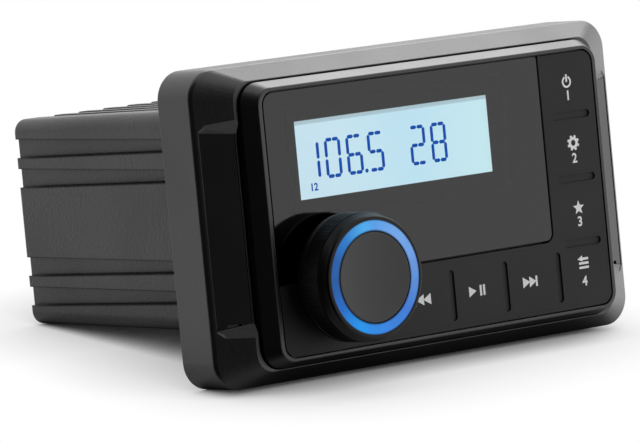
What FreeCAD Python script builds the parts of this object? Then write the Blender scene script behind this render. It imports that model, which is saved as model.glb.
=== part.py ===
import FreeCAD, Part
import os, math
from FreeCAD import Vector as V

os.makedirs("parts", exist_ok=True)

# Compact dash stereo with a tilted finger pocket at each side of its trim, a display window,
# a rubber keypad and one lit rotary knob. Millimetres. X is right, +Y is the rear, Z is up;
# the front faces -Y. The origin is the centre of the flange's rear plane.

# trim and flange
TRIM_W, TRIM_H, TRIM_R = 130.8, 75.4, 7.0
TRIM_HX, TRIM_HZ = TRIM_W / 2, TRIM_H / 2
CREASE_Y = -12.0                 # where the side wall ends and the sloping front begins
RIM_Y = -17.2                    # front of the rim round the fascia
OPEN_X, OPEN_Z, OPEN_R = TRIM_HX - 9.7, TRIM_HZ - 3.75, 5.8      # hole through the trim, half sizes
RIM_TX, RIM_TZ = 0.85, 0.2                   # flat of the rim, wider at the sides
RIM_X, RIM_Z, RIM_R = OPEN_X + RIM_TX, OPEN_Z + RIM_TZ, 4.6      # outer edge of the rim
TRIM_WALL = 2.0
CREASE_FILLET = 1.3
FLANGE_T = 3.0                   # plate of the casting, inside the trim
SEAT_CLEAR = 0.15

# side pockets and their screw covers
POCKET_X0, POCKET_X1 = OPEN_X + 0.45, TRIM_HX - 1.2
POCKET_Z = TRIM_HZ - 12.1                    # end of the pocket at the rim
POCKET_OUT_Z = POCKET_Z - 1.95               # at the outer edge of the slope
POCKET_IN_Z = POCKET_Z - 3.35                # at the inner edge of the floor
POCKET_BEND = 1.6                            # from the outer edge to where the end turns
FLOOR_Y0, FLOOR_Y1 = -15.9, -12.55           # cover face at the inner and outer edge
COVER_T, COVER_GAP = 1.0, 0.1
WALL_TOP_Y = FLOOR_Y0 - 0.2

# mounting holes
HOLE_X, HOLE_Z, HOLE_R = TRIM_HX - 5.8, TRIM_HZ - 21.7, 1.9
SCREW_CLEAR_R = 2.3

# seal between flange and panel, inside the mounting holes
SEAL_X, SEAL_Z, SEAL_R, SEAL_W, SEAL_D = TRIM_HX - 8.8, TRIM_HZ - 3.1, 4.0, 1.0, 0.8

# knob
KNOB_BACK_Y, KNOB_FRONT_Y = -25.6, -35.8
RING_R1 = 13.4
RING_R0 = RING_R1 - 2.55
KNOB_R_BACK, KNOB_R_FRONT = RING_R1 + 1.9, RING_R1 + 1.25
PIPE_R1 = RING_R0 - 0.85
PIPE_R0 = PIPE_R1 - 1.5
SHAFT_R, SHAFT_FIT = 3.0, 0.04
BUSH_R = SHAFT_R + 0.5

# fascia
FRONT_Y = -22.05
LIP_X, LIP_Z, LIP_R = OPEN_X - 3.58, OPEN_Z - 2.5, 3.4           # opening inside the lip, half sizes
LIP_WX, LIP_WZ = 1.1, 0.75
SKIRT_X, SKIRT_Z, SKIRT_R = OPEN_X - 0.55, OPEN_Z - 0.3, 5.0
TAPER_Y = -18.0
LEDGE_Y, LEDGE_T, LEDGE_IN = -19.8, 1.4, 2.9
SKIRT_WALL = 1.8
SEAL_T = 0.4
BOSS_X, BOSS_Z, BOSS_R = LIP_X - 2.52, LIP_Z - 3.25, 3.2
FACE_SCREW_R, FACE_HEAD_R, FACE_HEAD_T = 1.25, 2.3, 1.5

# display window and keypad, all but flush with the lip
FACE_Y = FRONT_Y + 0.05
FACE_GAP = 0.45
SPLIT_X, SPLIT_Z = LIP_X - 17.85, -LIP_Z + 17.55      # middle of the groove between window and keypad
SPLIT_W = 0.6
SPLIT_R = 1.8
KNOB_X, KNOB_Z = -LIP_X + KNOB_R_BACK + 2.72, -LIP_Z + KNOB_R_BACK + 2.05
LCD_X0, LCD_X1 = -LIP_X + 10.92, SPLIT_X - 15.47
LCD_Z0, LCD_Z1 = KNOB_Z + PIPE_R1 + 9.0, LIP_Z - 8.05
LED_PITCH = (LCD_X1 - LCD_X0) / 3
LED_X = tuple(LCD_X0 + (i + 0.5) * LED_PITCH for i in range(3))
KEY_T, KEY_GAP, KEY_R = 1.2, 0.12, 1.4
KEY_TRAVEL = 0.7
POST_W, POST_END_Y = 4.6, -13.4
RIB_W, RIB_L, RIB_D = 1.4, 12.2, 0.55        # short grooves pressed between the keys

# key borders: three up the right column, three along the bottom row
COL_Z1, COL_Z3 = LIP_Z - 15.65, -LIP_Z + 16.15
COL_Z2 = (COL_Z1 + COL_Z3) / 2 + 0.15
ROW_X0, ROW_X3 = KNOB_X + KNOB_R_BACK + 2.62, LIP_X - 17.0
ROW_PITCH = (ROW_X3 - ROW_X0) / 3
ROW_X1, ROW_X2 = ROW_X0 + ROW_PITCH - 0.2, ROW_X0 + 2 * ROW_PITCH - 0.2
COL_MID_X, ROW_MID_Z = (SPLIT_X + LIP_X) / 2 + 0.4, (SPLIT_Z - LIP_Z) / 2 - 0.28

# boards
FPCB_Y, PCB_T = -12.6, 1.6

# casting behind the flange
LEN = 85.5
HEAD_X, HEAD_Z0, HEAD_Z1 = TRIM_HX - 19.1, 11.35 - TRIM_HZ, TRIM_HZ - 10.3   # at the flange
DRAFT = 1.4                                            # taken off each side over the length
REAR_X, REAR_Z0, REAR_Z1 = HEAD_X - DRAFT, HEAD_Z0 + DRAFT, HEAD_Z1 - DRAFT
BODY_R = 3.3
GROOVE_D = 1.5
GROOVE_MID = (HEAD_Z1 - 8.5, HEAD_Z1 - 15.85, HEAD_Z0 + 15.9, HEAD_Z0 + 8.55)
GROOVE_W_HEAD, GROOVE_W_REAR = 2.3, 4.7
FIN_N = 9
FIN_PITCH = 2 * (HEAD_X - 11.65) / FIN_N
FIN_GAP_HEAD, FIN_GAP_REAR = 3.4, 5.1
CAV_X, CAV_Z0, CAV_Z1, CAV_Y1 = REAR_X - 4.4, REAR_Z0 + 3.75, REAR_Z1 - 4.0, LEN - 3.2
MAIN_Z = CAV_Z0 + 9.2                                  # top of the main board


def box(x0, x1, y0, y1, z0, z1):
    return Part.makeBox(x1 - x0, y1 - y0, z1 - z0, V(x0, y0, z0))


def cyl_y(x, z, r, y0, y1):
    return Part.makeCylinder(r, y1 - y0, V(x, y0, z), V(0, 1, 0))


def cyl_z(x, y, r, z0, z1):
    return Part.makeCylinder(r, z1 - z0, V(x, y, z0), V(0, 0, 1))


def along_x(y, z, r, x0, x1):
    return Part.makeCylinder(r, x1 - x0, V(x0, y, z), V(1, 0, 0))


def hex_socket(at, axis, r, depth):
    """Six-sided drive recess of a screw, from a point down an axis."""
    u, v = (V(1, 0, 0), V(0, 0, 1)) if axis.y else (V(0, 1, 0), V(1, 0, 0) if axis.z else V(0, 0, 1))
    pts = [at + u * (r * math.cos(i * math.pi / 3)) + v * (r * math.sin(i * math.pi / 3))
           for i in range(6)]
    return Part.Face(Part.makePolygon(pts + [pts[0]])).extrude(axis * depth)


def tube_y(x, z, r1, r0, y0, y1):
    return cyl_y(x, z, r1, y0, y1).cut(cyl_y(x, z, r0, y0 - 1, y1 + 1))


def outline(x0, x1, z0, z1, r, y):
    """Rounded rectangle in the plane Y = y; r is one radius or four (left low, right low,
    right high, left high)."""
    rs = r if isinstance(r, tuple) else (r, r, r, r)
    cor = ((x0, z0, 1, 1), (x1, z0, -1, 1), (x1, z1, -1, -1), (x0, z1, 1, -1))
    c45 = 1 - math.cos(math.pi / 4)
    edges, ends = [], []
    for i, (cx, cz, sx, sz) in enumerate(cor):
        q = rs[i]
        along_x = V(cx + sx * q, y, cz)
        along_z = V(cx, y, cz + sz * q)
        mid = V(cx + sx * q * c45, y, cz + sz * q * c45)
        first, last = (along_z, along_x) if i % 2 == 0 else (along_x, along_z)
        ends.append((first, last, mid, q))
    for i, (first, last, mid, q) in enumerate(ends):
        if q > 0:
            edges.append(Part.Arc(first, mid, last).toShape())
        nxt = ends[(i + 1) % 4][0]
        if last.sub(nxt).Length > 1e-6:
            edges.append(Part.makeLine(last, nxt))
    return Part.Wire(edges)


def slab(x0, x1, z0, z1, r, y0, y1):
    return Part.Face(outline(x0, x1, z0, z1, r, y0)).extrude(V(0, y1 - y0, 0))


def slab_c(hx, hz, r, y0, y1):
    return slab(-hx, hx, -hz, hz, r, y0, y1)


def loft(*wires):
    return Part.makeLoft(list(wires), True, True)


def fuse(parts):
    out = parts[0]
    if len(parts) > 1:
        out = out.multiFuse(list(parts[1:]))
    return out.removeSplitter()


def cut_all(body, tools):
    for t in tools:
        body = body.cut(t)
    return body


def mirror_x(s):
    return s.mirror(V(0, 0, 0), V(1, 0, 0))


def poly_xy(points, z0, z1):
    pts = [V(a, b, z0) for a, b in points]
    return Part.Face(Part.makePolygon(pts + [pts[0]])).extrude(V(0, 0, z1 - z0))


def poly_yz(points, x0, x1):
    pts = [V(x0, a, b) for a, b in points]
    return Part.Face(Part.makePolygon(pts + [pts[0]])).extrude(V(x1 - x0, 0, 0))


def revolve_y(points, x, z):
    """Solid of revolution about the line along Y through (x, z); points are (radius, y)."""
    pts = [V(x + r, y, z) for r, y in points]
    return Part.Face(Part.makePolygon(pts + [pts[0]])).revolve(V(x, 0, z), V(0, 1, 0), 360)


def round_edges(shape, test, radius):
    edges = [e for e in shape.Edges if test(e)]
    return shape.makeFillet(radius, edges) if edges else shape


def near(a, b, tol=0.02):
    return abs(a - b) < tol


# trim bezel, pockets and covers

def slope_y(x):
    """Front surface of the trim's side slope at x."""
    run = (TRIM_W / 2 - x) / (TRIM_W / 2 - RIM_X)
    return CREASE_Y + run * (RIM_Y - CREASE_Y)


def plane_z(p, q, r):
    """Height over X and Y of the plane through three points."""
    n = q.sub(p).cross(r.sub(p))
    return lambda x, y: p.z - (n.x * (x - p.x) + n.y * (y - p.y)) / n.z


def pocket_ends():
    """The two planes an end of the pocket is made of: a short steep one by the outer edge of the
    slope and a long one to the rim."""
    bend_x = POCKET_X1 - POCKET_BEND
    bend = V(bend_x, slope_y(bend_x), (POCKET_Z + 2 * POCKET_OUT_Z) / 3 + 0.75)
    corner = V(POCKET_X1, slope_y(POCKET_X1), POCKET_OUT_Z)
    foot = V(POCKET_X1, FLOOR_Y1, POCKET_OUT_Z - 0.3)
    long_end = plane_z(V(POCKET_X0, FLOOR_Y0, POCKET_IN_Z), V(RIM_X, RIM_Y, POCKET_Z), bend)
    return long_end, plane_z(corner, bend, foot)


def between_ends(points, z_at):
    """Solid on a four-sided outline in X and Y, closed at both ends by the heights z_at gives."""
    a, b = ([V(x, y, s * z_at(x, y)) for x, y in points] for s in (1, -1))
    faces = [Part.Face(Part.makePolygon(q + [q[0]])) for q in (
        a, b,
        [a[0], a[1], b[1], b[0]], [a[1], a[2], b[2], b[1]],
        [a[2], a[3], b[3], b[2]], [a[3], a[0], b[0], b[3]])]
    solid = Part.makeSolid(Part.makeShell(faces))
    if solid.Volume < 0:
        solid.reverse()
    return solid


def pocket_tool():
    """Hollow above the cover; the wall beside the fascia is cut down to the floor with it."""
    top = RIM_Y - 1.5
    long_end, short_end = pocket_ends()
    section = ((POCKET_X0, FLOOR_Y0), (POCKET_X1, FLOOR_Y1), (POCKET_X1, top), (POCKET_X0, top))
    hollow = between_ends(section, long_end).common(between_ends(section, short_end))
    wall = between_ends(((OPEN_X - 1, WALL_TOP_Y), (POCKET_X0 + 0.01, WALL_TOP_Y),
                         (POCKET_X0 + 0.01, top), (OPEN_X - 1, top)), long_end)
    return fuse([hollow, wall])


def cover_plate(gap):
    lean = (FLOOR_Y1 - FLOOR_Y0) / (POCKET_X1 - POCKET_X0) * gap
    x0, x1, y0, y1 = POCKET_X0 + gap, POCKET_X1 - gap, FLOOR_Y0 + lean, FLOOR_Y1 - lean
    rise = (POCKET_OUT_Z - 0.35 - POCKET_IN_Z) / (POCKET_X1 - POCKET_X0)
    return between_ends(((x0, y0), (x1, y1), (x1, y1 + COVER_T), (x0, y0 + COVER_T)),
                        lambda x, y: POCKET_IN_Z + rise * (x - POCKET_X0) - gap)


def trim_bezel():
    hw, hh = TRIM_W / 2, TRIM_H / 2
    wall = loft(outline(-hw, hw, -hh, hh, TRIM_R, 0), outline(-hw, hw, -hh, hh, TRIM_R, CREASE_Y))
    nose = loft(outline(-hw, hw, -hh, hh, TRIM_R, CREASE_Y),
                outline(-RIM_X, RIM_X, -RIM_Z, RIM_Z, RIM_R, RIM_Y))
    body = fuse([wall, nose])
    body = round_edges(body, lambda e: near(e.BoundBox.YMin, CREASE_Y) and
                       near(e.BoundBox.YMax, CREASE_Y), CREASE_FILLET)
    body = body.cut(slab_c(OPEN_X, OPEN_Z, OPEN_R, RIM_Y - 1, 1))
    body = body.cut(slab_c(hw - TRIM_WALL, hh - TRIM_WALL, TRIM_R - TRIM_WALL, -FLANGE_T, 1))
    pocket = fuse([pocket_tool(), cover_plate(0)])
    holes = [cyl_y(HOLE_X, z, SCREW_CLEAR_R, RIM_Y, 1) for z in (-HOLE_Z, HOLE_Z)]
    for t in [pocket] + holes:
        body = body.cut(t).cut(mirror_x(t))
    return body


def side_cover(sign):
    plate = cover_plate(COVER_GAP)
    # a pry notch at the lower end, as clip-on covers have
    mid, foot = (POCKET_X0 + POCKET_X1) / 2, -(POCKET_IN_Z + POCKET_OUT_Z) / 2
    plate = plate.cut(box(mid - 1.5, mid + 1.5, RIM_Y, -10, foot - 1.5, foot + 0.9))
    return plate if sign > 0 else mirror_x(plate)


# casting

def body_section(y):
    t = y / LEN
    hx = HEAD_X + (REAR_X - HEAD_X) * t
    z0 = HEAD_Z0 + (REAR_Z0 - HEAD_Z0) * t
    z1 = HEAD_Z1 + (REAR_Z1 - HEAD_Z1) * t
    return hx, z0, z1


def groove_tool(along_x, mid, w_head, w_rear, side):
    """Groove from just behind the flange to past the rear; side picks the face. Its floor is
    straight, so it deepens toward the flange as the drafted face rises."""
    wires = []
    for y, w in ((1.2, w_head), (LEN + 1.0, w_rear)):
        if along_x:
            floor = (REAR_Z1 if side > 0 else REAR_Z0) - side * GROOVE_D
            u0, u1 = sorted((floor, floor + side * (GROOVE_D + DRAFT + 2)))
            pts = [V(mid - w / 2, y, u0), V(mid + w / 2, y, u0),
                   V(mid + w / 2, y, u1), V(mid - w / 2, y, u1)]
        else:
            floor = side * (REAR_X - GROOVE_D)
            u0, u1 = sorted((floor, floor + side * (GROOVE_D + DRAFT + 2)))
            pts = [V(u0, y, mid - w / 2), V(u1, y, mid - w / 2),
                   V(u1, y, mid + w / 2), V(u0, y, mid + w / 2)]
        wires.append(Part.makePolygon(pts + [pts[0]]))
    return Part.makeLoft(wires, True, True)


def chassis():
    hx0, z00, z01 = body_section(0)
    hx1, z10, z11 = body_section(LEN)
    body = loft(outline(-hx0, hx0, z00, z01, 0, 0), outline(-hx1, hx1, z10, z11, 0, LEN))
    body = round_edges(body, lambda e: e.BoundBox.YLength > 1, BODY_R)
    body = round_edges(body, lambda e: near(e.BoundBox.YMin, LEN) and near(e.BoundBox.YMax, LEN),
                       1.2)
    tools = [groove_tool(False, m, GROOVE_W_HEAD, GROOVE_W_REAR, s)
             for m in GROOVE_MID for s in (-1, 1)]
    for i in range(FIN_N + 1):
        mid = (i - FIN_N / 2) * FIN_PITCH
        tools += [groove_tool(True, mid, FIN_GAP_HEAD, FIN_GAP_REAR, s) for s in (-1, 1)]
    body = body.cut(Part.makeCompound(tools))
    flange_x = TRIM_W / 2 - TRIM_WALL - SEAT_CLEAR
    flange_z = TRIM_H / 2 - TRIM_WALL - SEAT_CLEAR
    flange = slab_c(flange_x, flange_z, TRIM_R - TRIM_WALL, -FLANGE_T, 0)
    body = fuse([flange, body])
    body = body.cut(slab(-CAV_X, CAV_X, CAV_Z0, CAV_Z1, 2.0, -FLANGE_T - 1, CAV_Y1))
    cuts = [cyl_y(sx * HOLE_X, sz * HOLE_Z, HOLE_R, -4, 1) for sx in (-1, 1) for sz in (-1, 1)]
    for sx in (-1, 1):
        for sz in (-1, 1):
            cuts.append(cyl_y(sx * BOSS_X, sz * BOSS_Z, FACE_SCREW_R + 0.2, -4, 1))
            cuts.append(cyl_y(sx * BOSS_X, sz * BOSS_Z, FACE_HEAD_R + 0.2, -FACE_HEAD_T - 0.1, 1))
    # seal groove in the seat
    cuts.append(seal_ring(0, 1))
    # openings in the rear wall
    cuts += [box(a, b, CAV_Y1 - 1, LEN + 1, c, d) for a, b, c, d in REAR_WINDOWS]
    cuts.append(cyl_y(AERIAL_X, AERIAL_Z, AERIAL_R + 0.15, CAV_Y1 - 1, LEN + 1))
    body = body.cut(Part.makeCompound(cuts))
    posts = [cyl_z(x, y, 3.2, CAV_Z0 - 0.5, MAIN_Z - PCB_T).cut(
        cyl_z(x, y, PCB_SCREW_R + 0.05, MAIN_Z - PCB_T - 5.5, MAIN_Z)) for x, y in PCB_POSTS]
    amp_posts = [box(-CAV_X - 0.5, AMP_X0, y - 3, y + 3, AMP_SCREW_Z - 3, AMP_SCREW_Z + 3).cut(
        along_x(y, AMP_SCREW_Z, AMP_SCREW_R + 0.05, AMP_X0 - AMP_THREAD - 0.4, AMP_X0 + 1))
        for y in (AMP_Y0 - 4, AMP_Y1 + 4)]
    threads = [along_x(y, AMP_SCREW_Z, AMP_SCREW_R + 0.05, AMP_X0 - AMP_THREAD - 0.4, AMP_X0 + 1)
               for y in (AMP_Y0 - 4, AMP_Y1 + 4)]
    return fuse([body.cut(Part.makeCompound(threads))] + posts + amp_posts)


# rear sockets side by side across the cavity; what is left over is shared between them
PLUG_W, RCA_W, AERIAL_R = 26.0, 23.0, 5.6
SPARE = 2 * CAV_X - PLUG_W - RCA_W - 2 * AERIAL_R
PLUG_X0 = -CAV_X + 0.505 * SPARE
PLUG_X1, PLUG_Z0, PLUG_Z1 = PLUG_X0 + PLUG_W, MAIN_Z + 1.0, MAIN_Z + 13.6
RCA_X0 = PLUG_X1 + 0.096 * SPARE
RCA_X1 = RCA_X0 + RCA_W
RCA_X = (RCA_X0 + 5.0, RCA_X1 - 5.0)
RCA_Z0, RCA_Z1 = MAIN_Z + 1.1, MAIN_Z + 25.0
RCA_Z = (RCA_Z0 + 5.5, RCA_Z1 - 5.4)
AERIAL_X, AERIAL_Z = CAV_X - 0.1875 * SPARE - AERIAL_R, MAIN_Z + 8.5
WINDOW_FIT = 0.15
REAR_WINDOWS = ((PLUG_X0 - WINDOW_FIT, PLUG_X1 + WINDOW_FIT, PLUG_Z0 - WINDOW_FIT, PLUG_Z1 + WINDOW_FIT),
                (RCA_X0 - WINDOW_FIT, RCA_X1 + WINDOW_FIT, RCA_Z0 - WINDOW_FIT, RCA_Z1 + WINDOW_FIT))
PCB_X, PCB_Y0, PCB_Y1 = CAV_X - 1.5, 3.0, CAV_Y1 - 1.3
PCB_POSTS = tuple((sx * (PCB_X - 5.0), y) for y in (PCB_Y0 + 5.0, PCB_Y1 - 12.0) for sx in (-1, 1))
AMP_X0, AMP_Y0 = -CAV_X + 0.5, 26.0
AMP_X1, AMP_Y1 = AMP_X0 + 4.6, AMP_Y0 + 20.0
AMP_Z0, AMP_Z1 = MAIN_Z + 3.0, MAIN_Z + 19.0
AMP_SCREW_Z, AMP_SCREW_R, AMP_THREAD = MAIN_Z + 12.0, 1.2, 3.2
PCB_SCREW_R = 1.2


def seal_ring(gap, y1):
    """Ring of the panel seal, or with gap 0 the groove that takes it."""
    outer = slab_c(SEAL_X - gap, SEAL_Z - gap, SEAL_R - gap, -SEAL_D, y1)
    x, z, r = SEAL_X - SEAL_W + gap, SEAL_Z - SEAL_W + gap, SEAL_R - SEAL_W + gap
    return outer.cut(slab_c(x, z, r, -SEAL_D - 1, y1 + 1))


def panel_gasket():
    return seal_ring(0.05, 0)


# fascia

def fascia_frame():
    lip_x, lip_z = LIP_X + LIP_WX, LIP_Z + LIP_WZ
    rear = -FLANGE_T - SEAL_T
    skirt = slab_c(SKIRT_X, SKIRT_Z, SKIRT_R, TAPER_Y, rear)
    nose = loft(outline(-SKIRT_X, SKIRT_X, -SKIRT_Z, SKIRT_Z, SKIRT_R, TAPER_Y),
                outline(-lip_x, lip_x, -lip_z, lip_z, LIP_R + LIP_WZ, FRONT_Y))
    body = fuse([skirt, nose])
    body = round_edges(body, lambda e: near(e.BoundBox.YMin, FRONT_Y) and
                       near(e.BoundBox.YMax, FRONT_Y), 0.35)
    body = body.cut(slab_c(LIP_X, LIP_Z, LIP_R, FRONT_Y - 1, LEDGE_Y))
    body = body.cut(slab_c(LIP_X - LEDGE_IN, LIP_Z - LEDGE_IN, 2.0, FRONT_Y, 0))
    body = body.cut(slab_c(SKIRT_X - SKIRT_WALL, SKIRT_Z - SKIRT_WALL, 2.8, LEDGE_Y + LEDGE_T, 0))
    bosses = []
    for sx in (-1, 1):
        for sz in (-1, 1):
            boss = cyl_y(sx * BOSS_X, sz * BOSS_Z, BOSS_R, LEDGE_Y + LEDGE_T, -FLANGE_T)
            web = box(min(sx * BOSS_X, sx * (SKIRT_X - 1)), max(sx * BOSS_X, sx * (SKIRT_X - 1)),
                      LEDGE_Y + LEDGE_T, rear, sz * BOSS_Z - 0.8, sz * BOSS_Z + 0.8)
            bosses.append(fuse([boss, web]))
    body = fuse([body] + bosses)
    body = body.cut(slab_c(SKIRT_X + 1, SKIRT_Z + 1, 0, -FLANGE_T - 0.02, 0))
    for sx in (-1, 1):
        for sz in (-1, 1):
            body = body.cut(cyl_y(sx * BOSS_X, sz * BOSS_Z, FACE_SCREW_R - 0.02, -14, 0))
    return body


def fascia_gasket():
    ring = slab_c(SKIRT_X - 0.1, SKIRT_Z - 0.1, SKIRT_R - 0.1, -FLANGE_T - SEAL_T, -FLANGE_T)
    ring = ring.cut(slab_c(SKIRT_X - SKIRT_WALL + 0.1, SKIRT_Z - SKIRT_WALL + 0.1, 2.7, -5, 0))
    for sx in (-1, 1):
        for sz in (-1, 1):
            ring = ring.cut(cyl_y(sx * BOSS_X, sz * BOSS_Z, BOSS_R + 0.1, -5, 0))
    return ring


def fascia_screws():
    out = []
    for sx in (-1, 1):
        for sz in (-1, 1):
            x, z = sx * BOSS_X, sz * BOSS_Z
            head = cyl_y(x, z, FACE_HEAD_R, -FACE_HEAD_T - 0.05, -0.2)
            head = head.cut(hex_socket(V(x, 0, z), V(0, -1, 0), 1.0, 1.0))
            shank = cyl_y(x, z, FACE_SCREW_R - 0.02, -12.5, -FACE_HEAD_T)
            out.append(fuse([head, shank]))
    return Part.makeCompound(out)


# window, display and keypad

def knob_hole(y0, y1, extra=0.2):
    return cyl_y(KNOB_X, KNOB_Z, PIPE_R1 + extra, y0, y1)


def display_window():
    x0, x1 = -LIP_X + FACE_GAP, SPLIT_X - SPLIT_W / 2
    z0, z1 = SPLIT_Z + SPLIT_W / 2, LIP_Z - FACE_GAP
    pane = slab(x0, x1, z0, z1, (0.0, SPLIT_R, 0.6, LIP_R - FACE_GAP), FACE_Y, LEDGE_Y)
    return pane.cut(knob_hole(-30, 0))


def key_table():
    """Name, x0, x1, z0, z1 of each key; the mat fills what lies between."""
    out_x, out_z = LIP_X - FACE_GAP - 0.75, LIP_Z - FACE_GAP - 0.75
    col0 = SPLIT_X + SPLIT_W / 2 + 0.75
    row1 = SPLIT_Z - SPLIT_W / 2 - 0.75
    g = RIB_W / 2 + 0.45
    return (
        ("key_power", col0, out_x, COL_Z1 + g, out_z),
        ("key_settings", col0, out_x, COL_Z2 + g, COL_Z1 - g),
        ("key_favourites", col0, out_x, COL_Z3 + g, COL_Z2 - g),
        ("key_back", ROW_X3 + g, out_x, -out_z, COL_Z3 - g),
        ("key_next", ROW_X2 + g, ROW_X3 - g, -out_z, row1),
        ("key_play", ROW_X1 + g, ROW_X2 - g, -out_z, row1),
        ("key_previous", ROW_X0, ROW_X1 - g, -out_z, row1),
    )


KEY_RIBS = tuple((COL_MID_X, z, True) for z in (COL_Z1, COL_Z2, COL_Z3)) + tuple(
    (x, ROW_MID_Z, False) for x in (ROW_X1, ROW_X2, ROW_X3))


def l_shape(y0, y1, inset=0.0):
    """Keypad outline: right column and bottom row with the window taken out."""
    x, z = LIP_X - FACE_GAP - inset, LIP_Z - FACE_GAP - inset
    r = max(LIP_R - FACE_GAP - inset, 0.5)
    full = slab(-x, x, -z, z, r, y0, y1)
    col0 = SPLIT_X + SPLIT_W / 2 + inset
    row1 = SPLIT_Z - SPLIT_W / 2 - inset
    window = slab(-x - 9, col0, row1, z + 9, (0.0, SPLIT_R + SPLIT_W, 0.0, 0.0), y0 - 1, y1 + 1)
    return full.cut(window)


def post_place(key):
    name, x0, x1, z0, z1 = key
    x, z = (x0 + x1) / 2, (z0 + z1) / 2
    x = min(x, LIP_X - LEDGE_IN - POST_W / 2 - 1.3)
    z = min(max(z, -LIP_Z + LEDGE_IN + POST_W / 2 + 0.9), LIP_Z - LEDGE_IN - POST_W / 2 - 0.9)
    return x, z


def keypad_mat():
    mat = l_shape(FACE_Y, LEDGE_Y)
    tools = [slab(x0, x1, z0, z1, KEY_R, -30, 0) for _, x0, x1, z0, z1 in key_table()]
    for x, z, flat in KEY_RIBS:
        w, h = (RIB_L, RIB_W) if flat else (RIB_W, RIB_L)
        tools.append(slab(x - w / 2, x + w / 2, z - h / 2, z + h / 2, RIB_W / 2 - 0.01,
                          FACE_Y - 1, FACE_Y + RIB_D))
    tools.append(knob_hole(-30, 0))
    return mat.cut(Part.makeCompound(tools))


def key(entry):
    name, x0, x1, z0, z1 = entry
    g = KEY_GAP
    top = slab(x0 + g, x1 - g, z0 + g, z1 - g, KEY_R - g, FACE_Y, FACE_Y + KEY_T)
    x, z = post_place(entry)
    h = POST_W / 2
    return fuse([top, slab(x - h, x + h, z - h, z + h, 0.8, FACE_Y + KEY_T - 0.3, POST_END_Y)])


def front_carrier():
    """Plate behind window and mat; its edge rests inside the fascia's ledge."""
    hx, hz = LIP_X - LEDGE_IN - 0.15, LIP_Z - LEDGE_IN - 0.15
    plate = slab_c(hx, hz, 1.85, LEDGE_Y, LEDGE_Y + LEDGE_T)
    tools = [slab(LCD_X0 - 2.6, LCD_X1 + 2.6, LCD_Z0 - 2.6, LCD_Z1 + 2.4, 0.3, -30, 0),
             knob_hole(-30, 0)]
    for entry in key_table():
        x, z = post_place(entry)
        h = POST_W / 2 + 0.5
        tools.append(slab(x - h, x + h, z - h, z + h, 0.8, -30, 0))
    plate = plate.cut(Part.makeCompound(tools))
    posts = []
    for x, z in CARRIER_POSTS:
        p = cyl_y(x, z, 2.6, LEDGE_Y + LEDGE_T - 0.1, FPCB_Y)
        posts.append(p.cut(cyl_y(x, z, 1.1, FPCB_Y - 4, FPCB_Y + 1)))
    return fuse([plate] + posts)


CARRIER_POSTS = ((5.7 - LIP_X, 0.0), (5.7 - LIP_X, LCD_Z1 - 5.4), (SPLIT_X - 3.1, 0.0),
                 (SPLIT_X - 3.1, LIP_Z - 6.4), (KNOB_X + KNOB_R_BACK + 1.6, -LIP_Z + 9.95))


def lcd_foam():
    y1 = LEDGE_Y + 0.5
    return slab(LCD_X0 - 1.9, LCD_X1 + 1.9, LCD_Z0 - 1.9, LCD_Z1 + 1.8, 0.4, LEDGE_Y, y1).cut(
        slab(LCD_X0 - 0.5, LCD_X1 + 0.5, LCD_Z0 - 0.5, LCD_Z1 + 0.5, 0.2, -30, 0))


def lcd_glass():
    y0 = LEDGE_Y + 0.5
    front = box(LCD_X0 - 1.9, LCD_X1 + 1.9, y0, y0 + 0.9, LCD_Z0 - 1.9, LCD_Z1 + 1.8)
    back = box(LCD_X0 - 1.9, LCD_X1 + 1.9, y0 + 0.9, y0 + 1.8, LCD_Z0 + 0.6, LCD_Z1 + 1.8)
    return fuse([front, back])


def lcd_light_guide():
    y0 = LEDGE_Y + 2.3
    plate = box(LCD_X0 - 0.9, LCD_X1 + 0.9, y0, y0 + 2.6, LCD_Z0 + 0.9, LCD_Z1 + 0.9)
    notch = [box(x - 1.5, x + 1.5, y0 - 1, y0 + 4, LCD_Z1 + 0.2, LCD_Z1 + 2)
             for x in LED_X]
    return plate.cut(Part.makeCompound(notch))


def lcd_holder():
    """Tray round glass and light guide, with feet on the front board."""
    y0, y1 = LEDGE_Y + 0.6, FPCB_Y
    tray = box(LCD_X0 - 2.5, LCD_X1 + 2.5, y0, y1 - 1.6, LCD_Z0 - 2.5, LCD_Z1 + 2.3)
    inner = box(LCD_X0 - 1.95, LCD_X1 + 1.95, y0 - 1, LEDGE_Y + 2.3, LCD_Z0 - 1.95, LCD_Z1 + 1.85)
    guide = box(LCD_X0 - 0.95, LCD_X1 + 0.95, y0, LEDGE_Y + 4.9, LCD_Z0 + 0.85, LCD_Z1 + 0.95)
    led = [box(x - 1.8, x + 1.8, y0, y1, LCD_Z1 + 0.1, LCD_Z1 + 1.75) for x in LED_X]
    tray = tray.cut(Part.makeCompound([inner, guide] + led))
    feet = [box(x - 1.5, x + 1.5, y1 - 1.7, y1, z, z + 2)
            for x in (LCD_X0, LCD_X1) for z in (LCD_Z0 - 2.5, LCD_Z1 + 0.3)]
    return fuse([tray] + feet)


def lcd_leds():
    y1 = LEDGE_Y + 4.9
    return Part.makeCompound([box(x - 1.3, x + 1.3, y1 - 2.4, y1, LCD_Z1 + 0.25, LCD_Z1 + 1.5)
                              .fuse(box(x - 0.4, x + 0.4, y1 - 0.1, FPCB_Y, LCD_Z1 + 0.5,
                                        LCD_Z1 + 1.3)).removeSplitter()
                              for x in LED_X])


# front board, encoder and knob

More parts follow.
